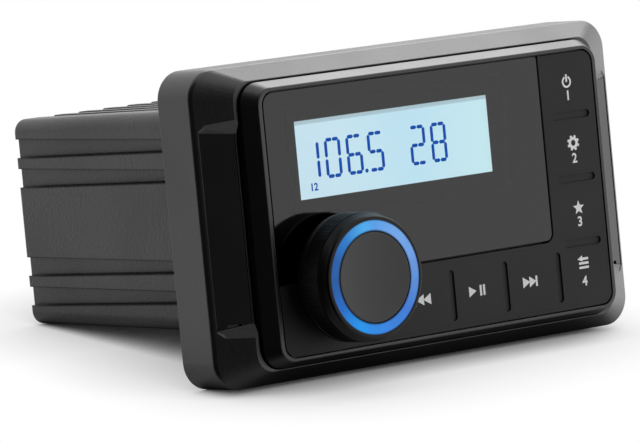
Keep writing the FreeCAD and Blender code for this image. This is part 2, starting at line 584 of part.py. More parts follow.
def front_pcb():
    hx, hz = LIP_X - 1.0, LIP_Z - 1.0
    board = slab_c(hx, hz, 1.0, FPCB_Y, FPCB_Y + PCB_T)
    tools = [cyl_y(sx * BOSS_X, sz * BOSS_Z, BOSS_R + 0.25, -30, 0)
             for sx in (-1, 1) for sz in (-1, 1)]
    tools += [cyl_y(x, z, 1.15, -30, 0) for x, z in CARRIER_POSTS]
    for sx in (-1, 1):
        for sz in (-1, 1):
            tools.append(box(min(sx * BOSS_X, sx * 60), max(sx * BOSS_X, sx * 60), -30, 0,
                             sz * BOSS_Z - 1.1, sz * BOSS_Z + 1.1))
    return board.cut(Part.makeCompound(tools)).cut(Part.makeCompound(encoder_pins(0.45)))


def front_pcb_screws():
    y = FPCB_Y + PCB_T
    return Part.makeCompound([cyl_y(x, z, 2.0, y, y + 1.3)
                              .cut(hex_socket(V(x, y + 1.4, z), V(0, -1, 0), 0.9, 0.8))
                              .fuse(cyl_y(x, z, 1.05, FPCB_Y - 3.6, y)).removeSplitter()
                              for x, z in CARRIER_POSTS])


def contact_pads():
    pads = []
    for entry in key_table():
        x, z = post_place(entry)
        pads.append(cyl_y(x, z, 2.4, FPCB_Y - 0.06, FPCB_Y))
    return Part.makeCompound(pads)


def knob_leds():
    out, mid = [], (PIPE_R1 + PIPE_R0) / 2
    for dx, dz in ((mid, 0), (-mid, 0), (0, mid), (0, -mid)):
        x, z = KNOB_X + dx, KNOB_Z + dz
        out.append(box(x - 0.7, x + 0.7, FPCB_Y - 1.0, FPCB_Y, z - 0.7, z + 0.7))
    return Part.makeCompound(out)


def ring_light_pipe():
    """Fixed clear tube that carries light from the board to the back of the knob."""
    y_front = FACE_Y - 0.4
    tube = tube_y(KNOB_X, KNOB_Z, PIPE_R1, PIPE_R0, y_front, FPCB_Y - 1.1)
    collar = tube_y(KNOB_X, KNOB_Z, PIPE_R1 + 1.2, PIPE_R0, LEDGE_Y + LEDGE_T, LEDGE_Y + LEDGE_T + 0.9)
    web = tube_y(KNOB_X, KNOB_Z, PIPE_R0 + 0.2, BUSH_R + 0.05, y_front, y_front + 1.0)
    return fuse([tube, collar, web])


ENC_W, ENC_FRONT = math.sqrt(2) * (PIPE_R0 - 0.44), -19.3


def encoder_pins(half):
    x, z = KNOB_X, KNOB_Z - ENC_W / 2 + 1.5
    return [box(x + dx - half, x + dx + half, FPCB_Y - 0.5, FPCB_Y + PCB_T + 1.2, z - half, z + half)
            for dx in (-2.5, 0, 2.5)]


def encoder_body():
    x, z, h = KNOB_X, KNOB_Z, ENC_W / 2
    case = slab(x - h, x + h, z - h, z + h, 0.6, ENC_FRONT, FPCB_Y)
    bush = cyl_y(x, z, BUSH_R, -23.6, ENC_FRONT + 0.5)
    body = fuse([case, bush])
    body = body.cut(cyl_y(x, z, SHAFT_R + SHAFT_FIT, -30, -17.0))
    body = body.cut(cyl_y(x, z, 3.6, -17.02, -14.0))
    return fuse([body] + encoder_pins(0.4))


def encoder_shaft():
    x, z = KNOB_X, KNOB_Z
    shaft = cyl_y(x, z, SHAFT_R, -33.0, -16.6)
    shaft = shaft.cut(box(x - 4, x + 4, -34, -26.0, z + 1.5, z + 4))
    collar = cyl_y(x, z, 3.5, -17.0, -16.6)
    return fuse([shaft, collar])


def encoder_plunger():
    return cyl_y(KNOB_X, KNOB_Z, 1.6, -16.6, -15.0)


def knob_body():
    """Drafted cup: plain rim at the back, grip band, plain rim at the front."""
    rb, rf = KNOB_R_BACK, KNOB_R_FRONT
    yb, yf = KNOB_BACK_Y, KNOB_FRONT_Y
    outer = [(rb - 0.35, yb), (rb, yb - 0.35), (rb, yb - 1.3), (rb - 0.25, yb - 1.6),
             (rb - 0.25, yb - 7.2), (rb - 0.1, yb - 7.5), (rf + 0.1, yb - 8.9),
             (rf - 0.1, yf + 0.45), (rf - 0.45, yf + 0.08), (rf - 0.8, yf)]
    inner = [(RING_R1 + 0.03, yf), (RING_R1 + 0.03, yf + 1.9), (PIPE_R1 + 0.05, yf + 1.9),
             (PIPE_R1 + 0.05, yf + 3.2), (RING_R1 - 0.4, yf + 3.2), (RING_R1 - 0.4, yb)]
    shell = revolve_y(outer + inner, KNOB_X, KNOB_Z)
    return shell


def knob_light_ring():
    """Clear ring set in the knob's face and the tube that feeds it from behind."""
    yf = KNOB_FRONT_Y
    pts = [(RING_R0, yf + 0.15), (RING_R1, yf + 0.15), (RING_R1, yf + 1.9), (PIPE_R1, yf + 1.9),
           (PIPE_R1, -24.0), (PIPE_R0, -24.0), (PIPE_R0, yf + 1.5), (RING_R0, yf + 1.5)]
    return revolve_y(pts, KNOB_X, KNOB_Z)


def knob_cap():
    """Dished cap with the hub that grips the shaft."""
    yf = KNOB_FRONT_Y
    dish = [(0.0, yf + 0.75)]
    n = 6
    for i in range(1, n + 1):
        r = (RING_R0 - 0.35) * i / n
        dish.append((r, yf + 0.75 - 0.6 * (i / n) ** 2))
    rim = [(RING_R0 - 0.1, yf + 0.35), (RING_R0 - 0.03, yf + 1.5), (PIPE_R0 - 0.03, yf + 1.5),
           (PIPE_R0 - 0.03, yf + 2.6), (5.0, yf + 2.6), (5.0, -24.6), (0.0, -24.6)]
    body = revolve_y(dish + rim, KNOB_X, KNOB_Z)
    x, z = KNOB_X, KNOB_Z
    bore = cyl_y(x, z, SHAFT_R, -33.0, 0).cut(box(x - 4, x + 4, -34, -26.0, z + 1.5, z + 4))
    return body.cut(bore)


# inside the casting

def main_pcb():
    board = box(-PCB_X, PCB_X, PCB_Y0, PCB_Y1, MAIN_Z - PCB_T, MAIN_Z)
    return board.cut(Part.makeCompound([cyl_z(x, y, PCB_SCREW_R + 0.2, MAIN_Z - 9, MAIN_Z + 9)
                                        for x, y in PCB_POSTS]))


def main_pcb_screws():
    out = []
    for x, y in PCB_POSTS:
        head = cyl_z(x, y, 2.5, MAIN_Z, MAIN_Z + 1.7).cut(
            hex_socket(V(x, y, MAIN_Z + 1.8), V(0, 0, -1), 1.0, 1.0))
        out.append(fuse([head, cyl_z(x, y, PCB_SCREW_R, MAIN_Z - 6.5, MAIN_Z)]))
    return Part.makeCompound(out)


def amplifier_chip():
    body = box(AMP_X0, AMP_X1, AMP_Y0, AMP_Y1, AMP_Z0, AMP_Z1)
    pins = []
    n = 12
    for i in range(n):
        y = AMP_Y0 + (i + 0.5) * (AMP_Y1 - AMP_Y0) / n
        pins.append(box(AMP_X1 - 2.0, AMP_X1 - 1.5, y - 0.3, y + 0.3, MAIN_Z, AMP_Z0 + 0.5))
    return fuse([body] + pins)


def amplifier_pad():
    return box(-CAV_X, AMP_X0, AMP_Y0 - 0.5, AMP_Y1 + 0.5, AMP_Z0 + 1, AMP_Z1)


def amplifier_clamp():
    y0, y1 = AMP_Y0 - 7, AMP_Y1 + 7
    bar = box(AMP_X1, AMP_X1 + 1.5, AMP_Y0 - 0.5, AMP_Y1 + 0.5, AMP_SCREW_Z - 4, AMP_SCREW_Z + 4)
    ears = [box(AMP_X0, AMP_X0 + 1.5, a, b, AMP_SCREW_Z - 4, AMP_SCREW_Z + 4)
            for a, b in ((y0, AMP_Y0 - 0.1), (AMP_Y1 + 0.1, y1))]
    legs = [box(AMP_X0, AMP_X1 + 1.5, a, b, AMP_SCREW_Z - 4, AMP_SCREW_Z + 4)
            for a, b in ((AMP_Y0 - 1.6, AMP_Y0 - 0.1), (AMP_Y1 + 0.1, AMP_Y1 + 1.6))]
    body = fuse([bar] + ears + legs)
    for y in (AMP_Y0 - 4, AMP_Y1 + 4):
        body = body.cut(along_x(y, AMP_SCREW_Z, AMP_SCREW_R + 0.2, AMP_X0 - 5, AMP_X0 + 15))
    return body


def amplifier_screws():
    out = []
    for y in (AMP_Y0 - 4, AMP_Y1 + 4):
        head = along_x(y, AMP_SCREW_Z, 2.3, AMP_X0 + 1.5, AMP_X0 + 3.0)
        head = head.cut(hex_socket(V(AMP_X0 + 3.1, y, AMP_SCREW_Z), V(-1, 0, 0), 1.0, 0.9))
        shank = along_x(y, AMP_SCREW_Z, AMP_SCREW_R, AMP_X0 - AMP_THREAD, AMP_X0 + 1.5)
        out.append(fuse([head, shank]))
    return Part.makeCompound(out)


def filter_capacitors():
    out = []
    for x, y, r, h in ((-20.0, 14.0, 6.3, 22.0), (-5.0, 14.0, 5.0, 18.0), (8.0, 14.0, 5.0, 18.0)):
        out.append(cyl_z(x, y, r, MAIN_Z, MAIN_Z + h))
    return Part.makeCompound(out)


def filter_choke():
    x, y, mid, r, n = -17.0, LEN - 30.5, 6.2, 2.9, 8
    turns = [(i + 0.5) * math.tau / n for i in range(n)]
    ring = [V(x + mid + r * math.cos(t), y, MAIN_Z + r * (math.cos(math.pi / n) + math.sin(t)))
            for t in turns]
    return Part.Face(Part.makePolygon(ring + [ring[0]])).revolve(V(x, y, 0), V(0, 0, 1), 360)


def tuner_module():
    x1, y1 = PCB_X - 5.0, LEN - 23.5
    can = box(x1 - 26.0, x1, y1 - 20.0, y1, MAIN_Z, MAIN_Z + 6.0)
    return round_edges(can, lambda e: near(e.BoundBox.ZMin, MAIN_Z + 6) and
                       near(e.BoundBox.ZMax, MAIN_Z + 6), 0.6)


def wireless_module():
    x1 = PCB_X - 5.0
    board = box(x1 - 16.0, x1, 18.0, 30.0, MAIN_Z, MAIN_Z + 1.0)
    can = box(x1 - 14.0, x1 - 1.5, 21.0, 29.0, MAIN_Z + 1.0, MAIN_Z + 3.2)
    return fuse([board, can])


def logic_chips():
    return Part.makeCompound([
        box(-9.0, 3.0, 28.0, 40.0, MAIN_Z, MAIN_Z + 1.5),
        box(-24.0, -16.0, 30.0, 35.0, MAIN_Z, MAIN_Z + 1.6),
        box(-6.0, 2.0, LEN - 35.5, LEN - 29.5, MAIN_Z, MAIN_Z + 1.4)])


CONN_Y, CABLE_Z = PCB_Y0 + 3.0, MAIN_Z + 7.5


def ribbon_connectors():
    front = box(8.0, 24.0, FPCB_Y + PCB_T, FPCB_Y + PCB_T + 4.0, CABLE_Z - 2.0, CABLE_Z + 2.5)
    main = box(8.0, 24.0, CONN_Y - 2.0, CONN_Y + 2.0, MAIN_Z, MAIN_Z + 3.5)
    front = front.cut(box(9.0, 23.0, FPCB_Y + PCB_T + 1.0, 0, CABLE_Z - 0.1, CABLE_Z + 0.4))
    main = main.cut(box(9.0, 23.0, CONN_Y - 0.25, CONN_Y + 0.25, MAIN_Z + 1.0, 0))
    return Part.makeCompound([front, main])


def ribbon_cable():
    """Flat flexible cable, one bend, from the front board to the main board."""
    t, r, x0, width = 0.3, 3.0, 9.5, 13.0
    y0, y1 = FPCB_Y + PCB_T + 1.2, CONN_Y - t / 2
    z0, z1 = CABLE_Z, MAIN_Z + 1.2
    c = math.cos(math.pi / 4)
    yc, zc = y1 - r, z0 - r                  # centre of the bend
    edges = [
        Part.makeLine(V(x0, y0, z0 + t), V(x0, yc, z0 + t)),
        Part.Arc(V(x0, yc, z0 + t), V(x0, yc + (r + t) * c, zc + (r + t) * c),
                 V(x0, y1 + t, zc)).toShape(),
        Part.makeLine(V(x0, y1 + t, zc), V(x0, y1 + t, z1)),
        Part.makeLine(V(x0, y1 + t, z1), V(x0, y1, z1)),
        Part.makeLine(V(x0, y1, z1), V(x0, y1, zc)),
        Part.Arc(V(x0, y1, zc), V(x0, yc + r * c, zc + r * c), V(x0, yc, z0)).toShape(),
        Part.makeLine(V(x0, yc, z0), V(x0, y0, z0)),
        Part.makeLine(V(x0, y0, z0), V(x0, y0, z0 + t))]
    return Part.Face(Part.Wire(edges)).extrude(V(width, 0, 0))


def power_socket():
    """Shrouded pin socket for the loom; the cavity opens to the rear."""
    house = box(PLUG_X0, PLUG_X1, LEN - 13.5, LEN + 2.0, PLUG_Z0, PLUG_Z1)
    house = house.cut(box(PLUG_X0 + 1.2, PLUG_X1 - 1.2, LEN - 8.0, LEN + 3, PLUG_Z0 + 1.2,
                          PLUG_Z1 - 1.2))
    foot = box(PLUG_X0 + 1, PLUG_X1 - 1, LEN - 13.5, LEN - 6.0, MAIN_Z, PLUG_Z0)
    mid = (PLUG_X0 + PLUG_X1) / 2
    key = box(mid - 1.5, mid + 1.5, LEN - 3, LEN + 3, PLUG_Z1 - 1.3, PLUG_Z1 + 1)
    return fuse([house, foot]).cut(key).cut(power_pins())


def power_pins():
    out = []
    for i in range(8):
        for j in range(2):
            x = PLUG_X0 + 4.0 + i * (PLUG_X1 - PLUG_X0 - 8.0) / 7
            z = (PLUG_Z0 + PLUG_Z1) / 2 - 2.8 + j * 5.6
            out.append(box(x - 0.4, x + 0.4, LEN - 8.5, LEN - 1.5, z - 0.4, z + 0.4))
    return Part.makeCompound(out)


def rca_block():
    house = box(RCA_X0, RCA_X1, LEN - 15.5, LEN + 0.8, RCA_Z0, RCA_Z1)
    foot = box(RCA_X0 + 1, RCA_X1 - 1, LEN - 14.5, LEN - 6.0, MAIN_Z, RCA_Z0 + 0.1)
    return fuse([house, foot]).cut(Part.makeCompound(
        [cyl_y(x, z, 2.9, LEN - 8, LEN + 2) for x in RCA_X for z in RCA_Z]))


def rca_barrels():
    out = []
    for x in RCA_X:
        for z in RCA_Z:
            sleeve = tube_y(x, z, 4.2, 3.7, LEN + 0.8, LEN + 8.8)
            root = tube_y(x, z, 4.2, 2.9, LEN + 0.8, LEN + 1.6)
            out.append(fuse([sleeve, root]))
    return Part.makeCompound(out)


def rca_inserts():
    out = []
    for x in RCA_X:
        for z in RCA_Z:
            plug = tube_y(x, z, 2.85, 1.6, LEN - 7.5, LEN + 6.0)
            out.append(plug)
    return Part.makeCompound(out)


def aerial_socket():
    x, z, r = AERIAL_X, AERIAL_Z, AERIAL_R
    body = cyl_y(x, z, r, LEN - 11.5, LEN + 9.0)
    body = body.cut(cyl_y(x, z, r - 0.9, LEN - 6.0, LEN + 10))
    foot = box(x - 4.5, x + 4.5, LEN - 11.5, LEN - 5.0, MAIN_Z, z)
    post = tube_y(x, z, 2.3, 1.3, LEN - 6.2, LEN + 6.5)
    return fuse([body, foot, post])


def export(name, shape):
    shape.exportStep("parts/" + name + ".step")


def build():
    nodes = {
        "trim_bezel": trim_bezel(),
        "side_cover_left": side_cover(-1),
        "side_cover_right": side_cover(1),
        "chassis": chassis(),
        "panel_gasket": panel_gasket(),
        "fascia_frame": fascia_frame(),
        "fascia_gasket": fascia_gasket(),
        "fascia_screws": fascia_screws(),
        "display_window": display_window(),
        "keypad_mat": keypad_mat(),
        "front_carrier": front_carrier(),
        "lcd_foam": lcd_foam(),
        "lcd_glass": lcd_glass(),
        "lcd_light_guide": lcd_light_guide(),
        "lcd_holder": lcd_holder(),
        "lcd_leds": lcd_leds(),
        "front_pcb": front_pcb(),
        "front_pcb_screws": front_pcb_screws(),
        "contact_pads": contact_pads(),
        "knob_leds": knob_leds(),
        "ring_light_pipe": ring_light_pipe(),
        "encoder_body": encoder_body(),
        "encoder_plunger": encoder_plunger(),
        "encoder_shaft": encoder_shaft(),
        "knob_body": knob_body(),
        "knob_light_ring": knob_light_ring(),
        "knob_cap": knob_cap(),
        "main_pcb": main_pcb(),
        "main_pcb_screws": main_pcb_screws(),
        "amplifier_chip": amplifier_chip(),
        "amplifier_pad": amplifier_pad(),
        "amplifier_clamp": amplifier_clamp(),
        "amplifier_screws": amplifier_screws(),
        "filter_capacitors": filter_capacitors(),
        "filter_choke": filter_choke(),
        "tuner_module": tuner_module(),
        "wireless_module": wireless_module(),
        "logic_chips": logic_chips(),
        "ribbon_connectors": ribbon_connectors(),
        "ribbon_cable": ribbon_cable(),
        "power_socket": power_socket(),
        "power_pins": power_pins(),
        "rca_block": rca_block(),
        "rca_barrels": rca_barrels(),
        "rca_inserts": rca_inserts(),
        "aerial_socket": aerial_socket(),
    }
    for entry in key_table():
        nodes[entry[0]] = key(entry)
    for name, shape in nodes.items():
        if not shape.isValid() or not shape.Solids:
            print("bad shape", name)
        export(name, shape)
    print(len(nodes), "nodes")


build()
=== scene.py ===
import bpy, bmesh
import math
from mathutils import Matrix, Vector


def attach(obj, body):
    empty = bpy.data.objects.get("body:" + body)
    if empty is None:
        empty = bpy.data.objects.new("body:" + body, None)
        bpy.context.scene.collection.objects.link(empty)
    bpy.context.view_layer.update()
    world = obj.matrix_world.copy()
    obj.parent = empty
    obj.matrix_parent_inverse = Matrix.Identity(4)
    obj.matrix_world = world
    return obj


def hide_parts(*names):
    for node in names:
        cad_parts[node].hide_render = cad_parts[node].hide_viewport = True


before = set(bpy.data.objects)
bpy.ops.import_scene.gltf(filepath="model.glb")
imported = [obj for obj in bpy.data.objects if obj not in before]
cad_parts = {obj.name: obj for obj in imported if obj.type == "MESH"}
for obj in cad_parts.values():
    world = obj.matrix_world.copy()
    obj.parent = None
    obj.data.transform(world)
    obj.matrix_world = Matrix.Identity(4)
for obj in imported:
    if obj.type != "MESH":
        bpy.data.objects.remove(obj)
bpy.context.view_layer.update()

MM = 0.001

# Sizes shared with the solids, in millimetres. X is to the right, Y to the rear, Z up.
FACE_Y, BACK_Y = -22.0, -19.8                         # front and back of display window and keypad
LIP_X, LIP_Z, LIP_R, FACE_GAP = 52.12, 31.45, 3.4, 0.45
SPLIT_X, SPLIT_Z, SPLIT_W, SPLIT_R = 34.27, -13.9, 0.6, 1.8       # seam between window and keypad
LCD_X0, LCD_X1, LCD_Z0, LCD_Z1, LCD_Y = -41.2, 18.8, 4.9, 23.4, -19.3
LCD_MID_X, LCD_MID_Z = (LCD_X0 + LCD_X1) / 2, (LCD_Z0 + LCD_Z1) / 2
LCD_HALF_X, LCD_HALF_Z = (LCD_X1 - LCD_X0) / 2, (LCD_Z1 - LCD_Z0) / 2
COL_Z1, COL_Z2, COL_Z3 = 15.8, 0.4, -15.3             # borders of the keys up the column
ROW_X0, ROW_X1, ROW_X2, ROW_X3 = -16.18, 0.72, 17.82, 35.12      # and along the row
COL_MID_X, ROW_MID_Z = 43.6, -22.96
KEY_T, KEY_R, KEY_SEAM, KEY_EDGE = 1.2, 1.4, 0.02, 0.75
RIB_W, RIB_L, RIB_D, RIB_GAP = 1.9, 12.2, 0.42, 0.45  # pressed grooves between the keys
RIB_END_R, RIB_STEPS, CORNER_STEPS = RIB_W / 2 - 0.01, 5, 6
POST_W, POST_END_Y, POST_R, LEDGE_IN = 4.6, -13.4, 0.8, 2.9
POST_EDGE_X, POST_EDGE_Z = 1.3, 0.9                   # least way from a key's post to the ledge
KNOB_X, KNOB_Z, PIPE_R, PIPE_GAP = -34.1, -14.1, 10.0, 0.2
WINDOW_R = 0.6                                        # the window's corner at the keypad's column
PRINT_GAP, PRINT_AHEAD = 0.02, (-0.05, -0.01)         # way of a print to its neighbours, and to its carrier
ARC_STEPS = 40                                        # points round the knob's hole
GRIP_Y0, GRIP_Y1, GRIP_R, GRIP_RIB_R, GRIP_RIBS, GRIP_SIDES = -32.7, -27.3, 15.05, 0.2, 190, 8

# Looks, in millimetres where a length is meant
BUMP_DEPTH, GRAIN_UNIT = 0.2, 0.06                    # deepest grain, and the height of grain depth 1
EDGE_BEND, EDGE_AMOUNT, EDGE_SAMPLES = (0.995, 0.80), 0.5, 4
DRIFT_SCALE, GRAIN_TONE, ROUGH_DRIFT, COAT_ROUGH = 42.0, (0.86, 1.14), 0.04, 0.05
PIT_SCALE, PIT_SHARE, PIT_SPECK = 0.45, 0.6, 0.16     # pits among the grain, with dust in the deepest
STREAK_LONG, STREAK_TONE, STREAK_ROUGH = 0.06, (0.85, 1.12), 0.12
STREAK_DEPTH, STREAK_STRENGTH = 0.02, 0.2
DUST_COLOUR, BLACK, WHITE = (0.22, 0.22, 0.22), (0.0, 0.0, 0.0), (1.0, 1.0, 1.0)
PANE_TINT, PANE_TINT_SCALE, PANE_RIM = (0.97, 0.985, 1.0), 35.0, 0.5
PANE_CLEAR, PANE_FADE = 3.4, 1.5                      # the pane stays clear this far round the display
DISPLAY_GLARE = 0.8                                   # how much less the pane mirrors over the display
GLARE_X0, GLARE_X1, GLARE_Z = (-1.8, -0.6), (-3.4, -2.2), 1.2     # where that begins and ends
PANE_FRONT = 0.4                                      # the pane mirrors down to this depth
LCD_SHADE_STRIP = 22.3, 22.6                                # height where the painted shade along the display's top edge begins
LCD_LEFT, LCD_MIDDLE, LCD_RIGHT = (0.53, 0.71, 0.80), (0.46, 0.70, 0.82), (0.52, 0.75, 0.80)
# colour and amount of the painted shade in the display's top strip
LCD_PAINTED_SHADE, LCD_PAINTED_SHADE_AMOUNT = (0.30, 0.42, 0.47), 0.75
LCD_CLOUD_SCALE, LCD_CLOUD, LCD_CENTRE, LCD_CENTRE_AMOUNT = 60.0, 0.25, (-1.2, 0.8), 0.7
SEGMENT_DARK, SEGMENT_LIGHT, SEGMENT_SCALE = (0.0, 0.05, 0.30), (0.0, 0.07, 0.37), 900.0
RING_INSIDE, RING_OUTSIDE = (10.85, 11.35), (13.40, 13.0)         # radii where the ring's glow fades
RING_INNER_LEVEL, RING_OUTER_LEVEL, RING_FRONT = 0.25, 0.45, -0.2 # levels there; it glows ahead only
RING_CLOUD_SCALE, RING_CLOUD = 220.0, (0.94, 1.06)
CLOUD = 0.3, 0.7                                      # the range of noise that is used
RING_STOPS = [                                        # colour round the ring, from -X anticlockwise
    (0.0, (0.012, 0.10, 0.36)), (0.08, (0.01, 0.14, 0.55)), (0.17, (0.008, 0.30, 0.85)),
    (0.27, (0.03, 0.24, 0.80)), (0.38, (0.045, 0.19, 0.66)), (0.47, (0.10, 0.27, 0.70)),
    (0.55, (0.16, 0.36, 0.82)), (0.66, (0.17, 0.40, 0.86)), (0.73, (0.10, 0.36, 0.85)),
    (0.78, (0.07, 0.42, 0.90)), (0.86, (0.02, 0.20, 0.60)), (0.93, (0.012, 0.11, 0.40)),
    (1.0, (0.012, 0.10, 0.36))]
STEP_REACH, STEP_SAMPLES = 0.72, 8      # the painted shade line at a rib's step is about half as wide
STEP_TOP, STEP_BOTTOM = 18.5, -17.0     # no upper step lies higher, no lower step lies lower
STEP_SIDE, STEP_AHEAD = 38.0, 4.5       # on the sides only, behind the flange
STEP_UP, STEP_DOWN = (0.10, 0.18), (-0.35, -0.50)     # how far the softened normal turns up or down
STEP_FADE, STEP_REAR, STEP_FINE = (74.0, 90.0), 0.15, 0.8         # it thins toward the rear

# The display's characters: cells of strokes, in millimetres
CELL_X0, CELL_PITCH, CELL_W, CELL_H, CELL_Z = -38.9, 6.6, 4.9, 9.5, 13.75
STROKE, STROKE_GAP, STROKE_END, STROKE_MID = 0.86, 0.16, 0.06, 0.03
TIP_BY_W, TIP_BY_L = 0.4, 0.22                        # a stroke's point, by its width or its length
SHOWN, SHOWN_CELLS, DOT_CELL, DOT_R = "106528", (0, 1, 2, 3, 5, 6), 3, 0.5
CHANNEL, CHANNEL_X, CHANNEL_Z, CHANNEL_H = "12", -36.5, 7.4, 1.75
LIT = {"0": "abcdef", "1": "bc", "2": "abged", "5": "afgcd", "6": "afgedc", "8": "abcdefg"}

# Signs and numbers on the keys
INK_Y0, INK_Y1 = FACE_Y - 0.03, FACE_Y + 0.02
NUMBER_H, TYPE_CAP, TYPE_BOLD = 2.3, 0.7, 0.035       # a digit's share of the type size; its thickening
NUMBERS = (("key_power", 43.32, 20.5, "1"), ("key_settings", 43.62, 5.2, "2"),
           ("key_favourites", 43.52, -10.3, "3"), ("key_back", 43.32, -24.9, "4"))

# Studio: directions, levels and the floor's painted shadow; FLOOR_TURN in millimetres, the rest in metres
WORLD_SIDE, WORLD_EDGE = Vector((-0.92, -0.39, 0.0)).normalized(), (0.27, 0.54)    # its dark side
BRIGHT_SIDE, BRIGHT_EDGE = Vector((0.995, -0.10, 0.0)).normalized(), (0.75, 0.98)
GLOSS_DARK, GLOSS_LIGHT, BRIGHT_LIFT, DIFFUSE_LEVEL = 0.03, 1.0, 1.7, 0.85
FLOOR_HALF, FLOOR_DARK, FLOOR_PALE, FLOOR_TONE_SCALE = 6.0, (0.80,) * 3, (0.82,) * 3, 8.0
FLOOR_SHADE_REACH, FLOOR_SHADE_SAMPLES = 0.05, 48
FLOOR_SHADE_DARK, FLOOR_SHADE_LIGHT = 0.03, 0.90        # the open share that is darkest and lightest
FLOOR_POWER_AHEAD, FLOOR_POWER_BEHIND, FLOOR_TURN = 0.48, 0.82, 30.0    # it opens faster ahead
FLOOR_CONTACT = 0.012           # how dark the painted shadow on the floor gets where the unit stands
FLOOR_REFLECTED_SHADE_POWER = 2.2          # how fast the painted shade darkens the floor under the unit in reflections
SOFTBOX_AT, SOFTBOX_SIZE, SOFTBOX_WATTS = (0.75, 0.35, 0.80), (1.0, 0.7), 5.6

# Camera, solved from the photograph's straight edges
FOCAL_PX, PHOTO_W, SENSOR_MM, CLIP = 5927.06, 640, 36.0, (0.2, 60.0)
RIGHT = Vector((0.76550869, -0.63642826, -0.09463355))
DOWN = Vector((-0.11887709, 0.004651, -0.99289808))
FORWARD = Vector((0.63234854, 0.77132188, -0.07209636))
OFFSET = Vector((14.9864, -4.7789, 1430.4588))
UP = Vector((0.0, -0.14708, 0.98912))  # the unit leans back on its flange and rear edge
FLOOR_D = -0.03728


def new_object(name, data):
    obj = bpy.data.objects.new(name, data)
    bpy.context.scene.collection.objects.link(obj)
    return obj


def evaluated_mesh(obj):
    return bpy.data.meshes.new_from_object(obj.evaluated_get(bpy.context.evaluated_depsgraph_get()))


def make_camera():
    place = -(RIGHT * OFFSET.x + DOWN * OFFSET.y + FORWARD * OFFSET.z) * MM
    turn = Matrix((RIGHT, -DOWN, -FORWARD)).transposed().to_4x4()
    data = bpy.data.cameras.new("photo_view")
    data.sensor_width, data.lens = SENSOR_MM, FOCAL_PX / PHOTO_W * SENSOR_MM
    data.clip_start, data.clip_end = CLIP
    cam = new_object("photo_view", data)
    cam.matrix_world = Matrix.Translation(place) @ turn
    bpy.context.scene.camera = cam


# Node helpers

def node(tree, kind, **settings):
    n = tree.nodes.new(kind)
    for key, value in settings.items():
        setattr(n, key, value)
    return n


def wire(tree, source, target):
    """Links another node's output, or sets a plain value; a colour is given without its alpha."""
    if isinstance(source, bpy.types.NodeSocket):
        tree.links.new(source, target)
    elif target.type == "RGBA":
        target.default_value = (*source, 1.0)
    else:
        target.default_value = source


def fill(tree, n, **values):
    """Wires several inputs of a node; a name's underscores stand for spaces."""
    for label, value in values.items():
        wire(tree, value, n.inputs[label.replace("_", " ")])


def maths(tree, operation, *values, clamp=False):
    n = node(tree, "ShaderNodeMath", operation=operation, use_clamp=clamp)
    for socket, value in zip(n.inputs, values):
        wire(tree, value, socket)
    return n.outputs[0]


def times(tree, first, *others):
    for value in others:
        first = maths(tree, "MULTIPLY", first, value)
    return first


def blend_colour(tree, factor, a, b, mode="MIX"):
    n = node(tree, "ShaderNodeMix", data_type="RGBA", blend_type=mode)
    for place, value in ((0, factor), (6, a), (7, b)):
        wire(tree, value, n.inputs[place])
    return n.outputs[2]


def spread(tree, value, f0, f1, t0, t1, smooth=False):
    """Maps the range f0 to f1 onto t0 to t1 and holds it there."""
    n = node(tree, "ShaderNodeMapRange", interpolation_type="SMOOTHSTEP" if smooth else "LINEAR")
    for socket, v in zip(n.inputs, (value, f0, f1, t0, t1)):
        wire(tree, v, socket)
    return n.outputs[0]


def fade(tree, along, p0, p1, t0, t1):
    """Smooth change from t0 to t1 between two places, in millimetres."""
    return spread(tree, along, p0 * MM, p1 * MM, t0, t1, True)


def scaled(tree, vector, factor):
    n = node(tree, "ShaderNodeVectorMath", operation="SCALE")
    wire(tree, vector, n.inputs[0])
    wire(tree, factor, n.inputs["Scale"])
    return n.outputs[0]


def dot(tree, a, b):
    n = node(tree, "ShaderNodeVectorMath", operation="DOT_PRODUCT")
    wire(tree, a, n.inputs[0])
    wire(tree, b, n.inputs[1])
    return n.outputs["Value"]


def axes(tree, vector):
    n = node(tree, "ShaderNodeSeparateXYZ")
    wire(tree, vector, n.inputs[0])
    return n.outputs


def object_place(tree):
    return node(tree, "ShaderNodeTexCoord").outputs["Object"]


def true_normal(tree):
    return node(tree, "ShaderNodeNewGeometry").outputs["True Normal"]


def noise(tree, place, scale, detail=2.0):
    n = node(tree, "ShaderNodeTexNoise")
    fill(tree, n, Vector=place, Scale=scale, Detail=detail)
    return n.outputs["Fac"]


def from_middle(tree, along, middle):
    return maths(tree, "SUBTRACT", along, middle * MM)


def group_tree(name, inputs, outputs):
    tree = bpy.data.node_groups.new(name, "ShaderNodeTree")
    for label, kind, default in inputs:
        s = tree.interface.new_socket(name=label, in_out="INPUT", socket_type=kind)
        s.default_value = default
    for label, kind in outputs:
        tree.interface.new_socket(name=label, in_out="OUTPUT", socket_type=kind)
    return tree, node(tree, "NodeGroupInput"), node(tree, "NodeGroupOutput")


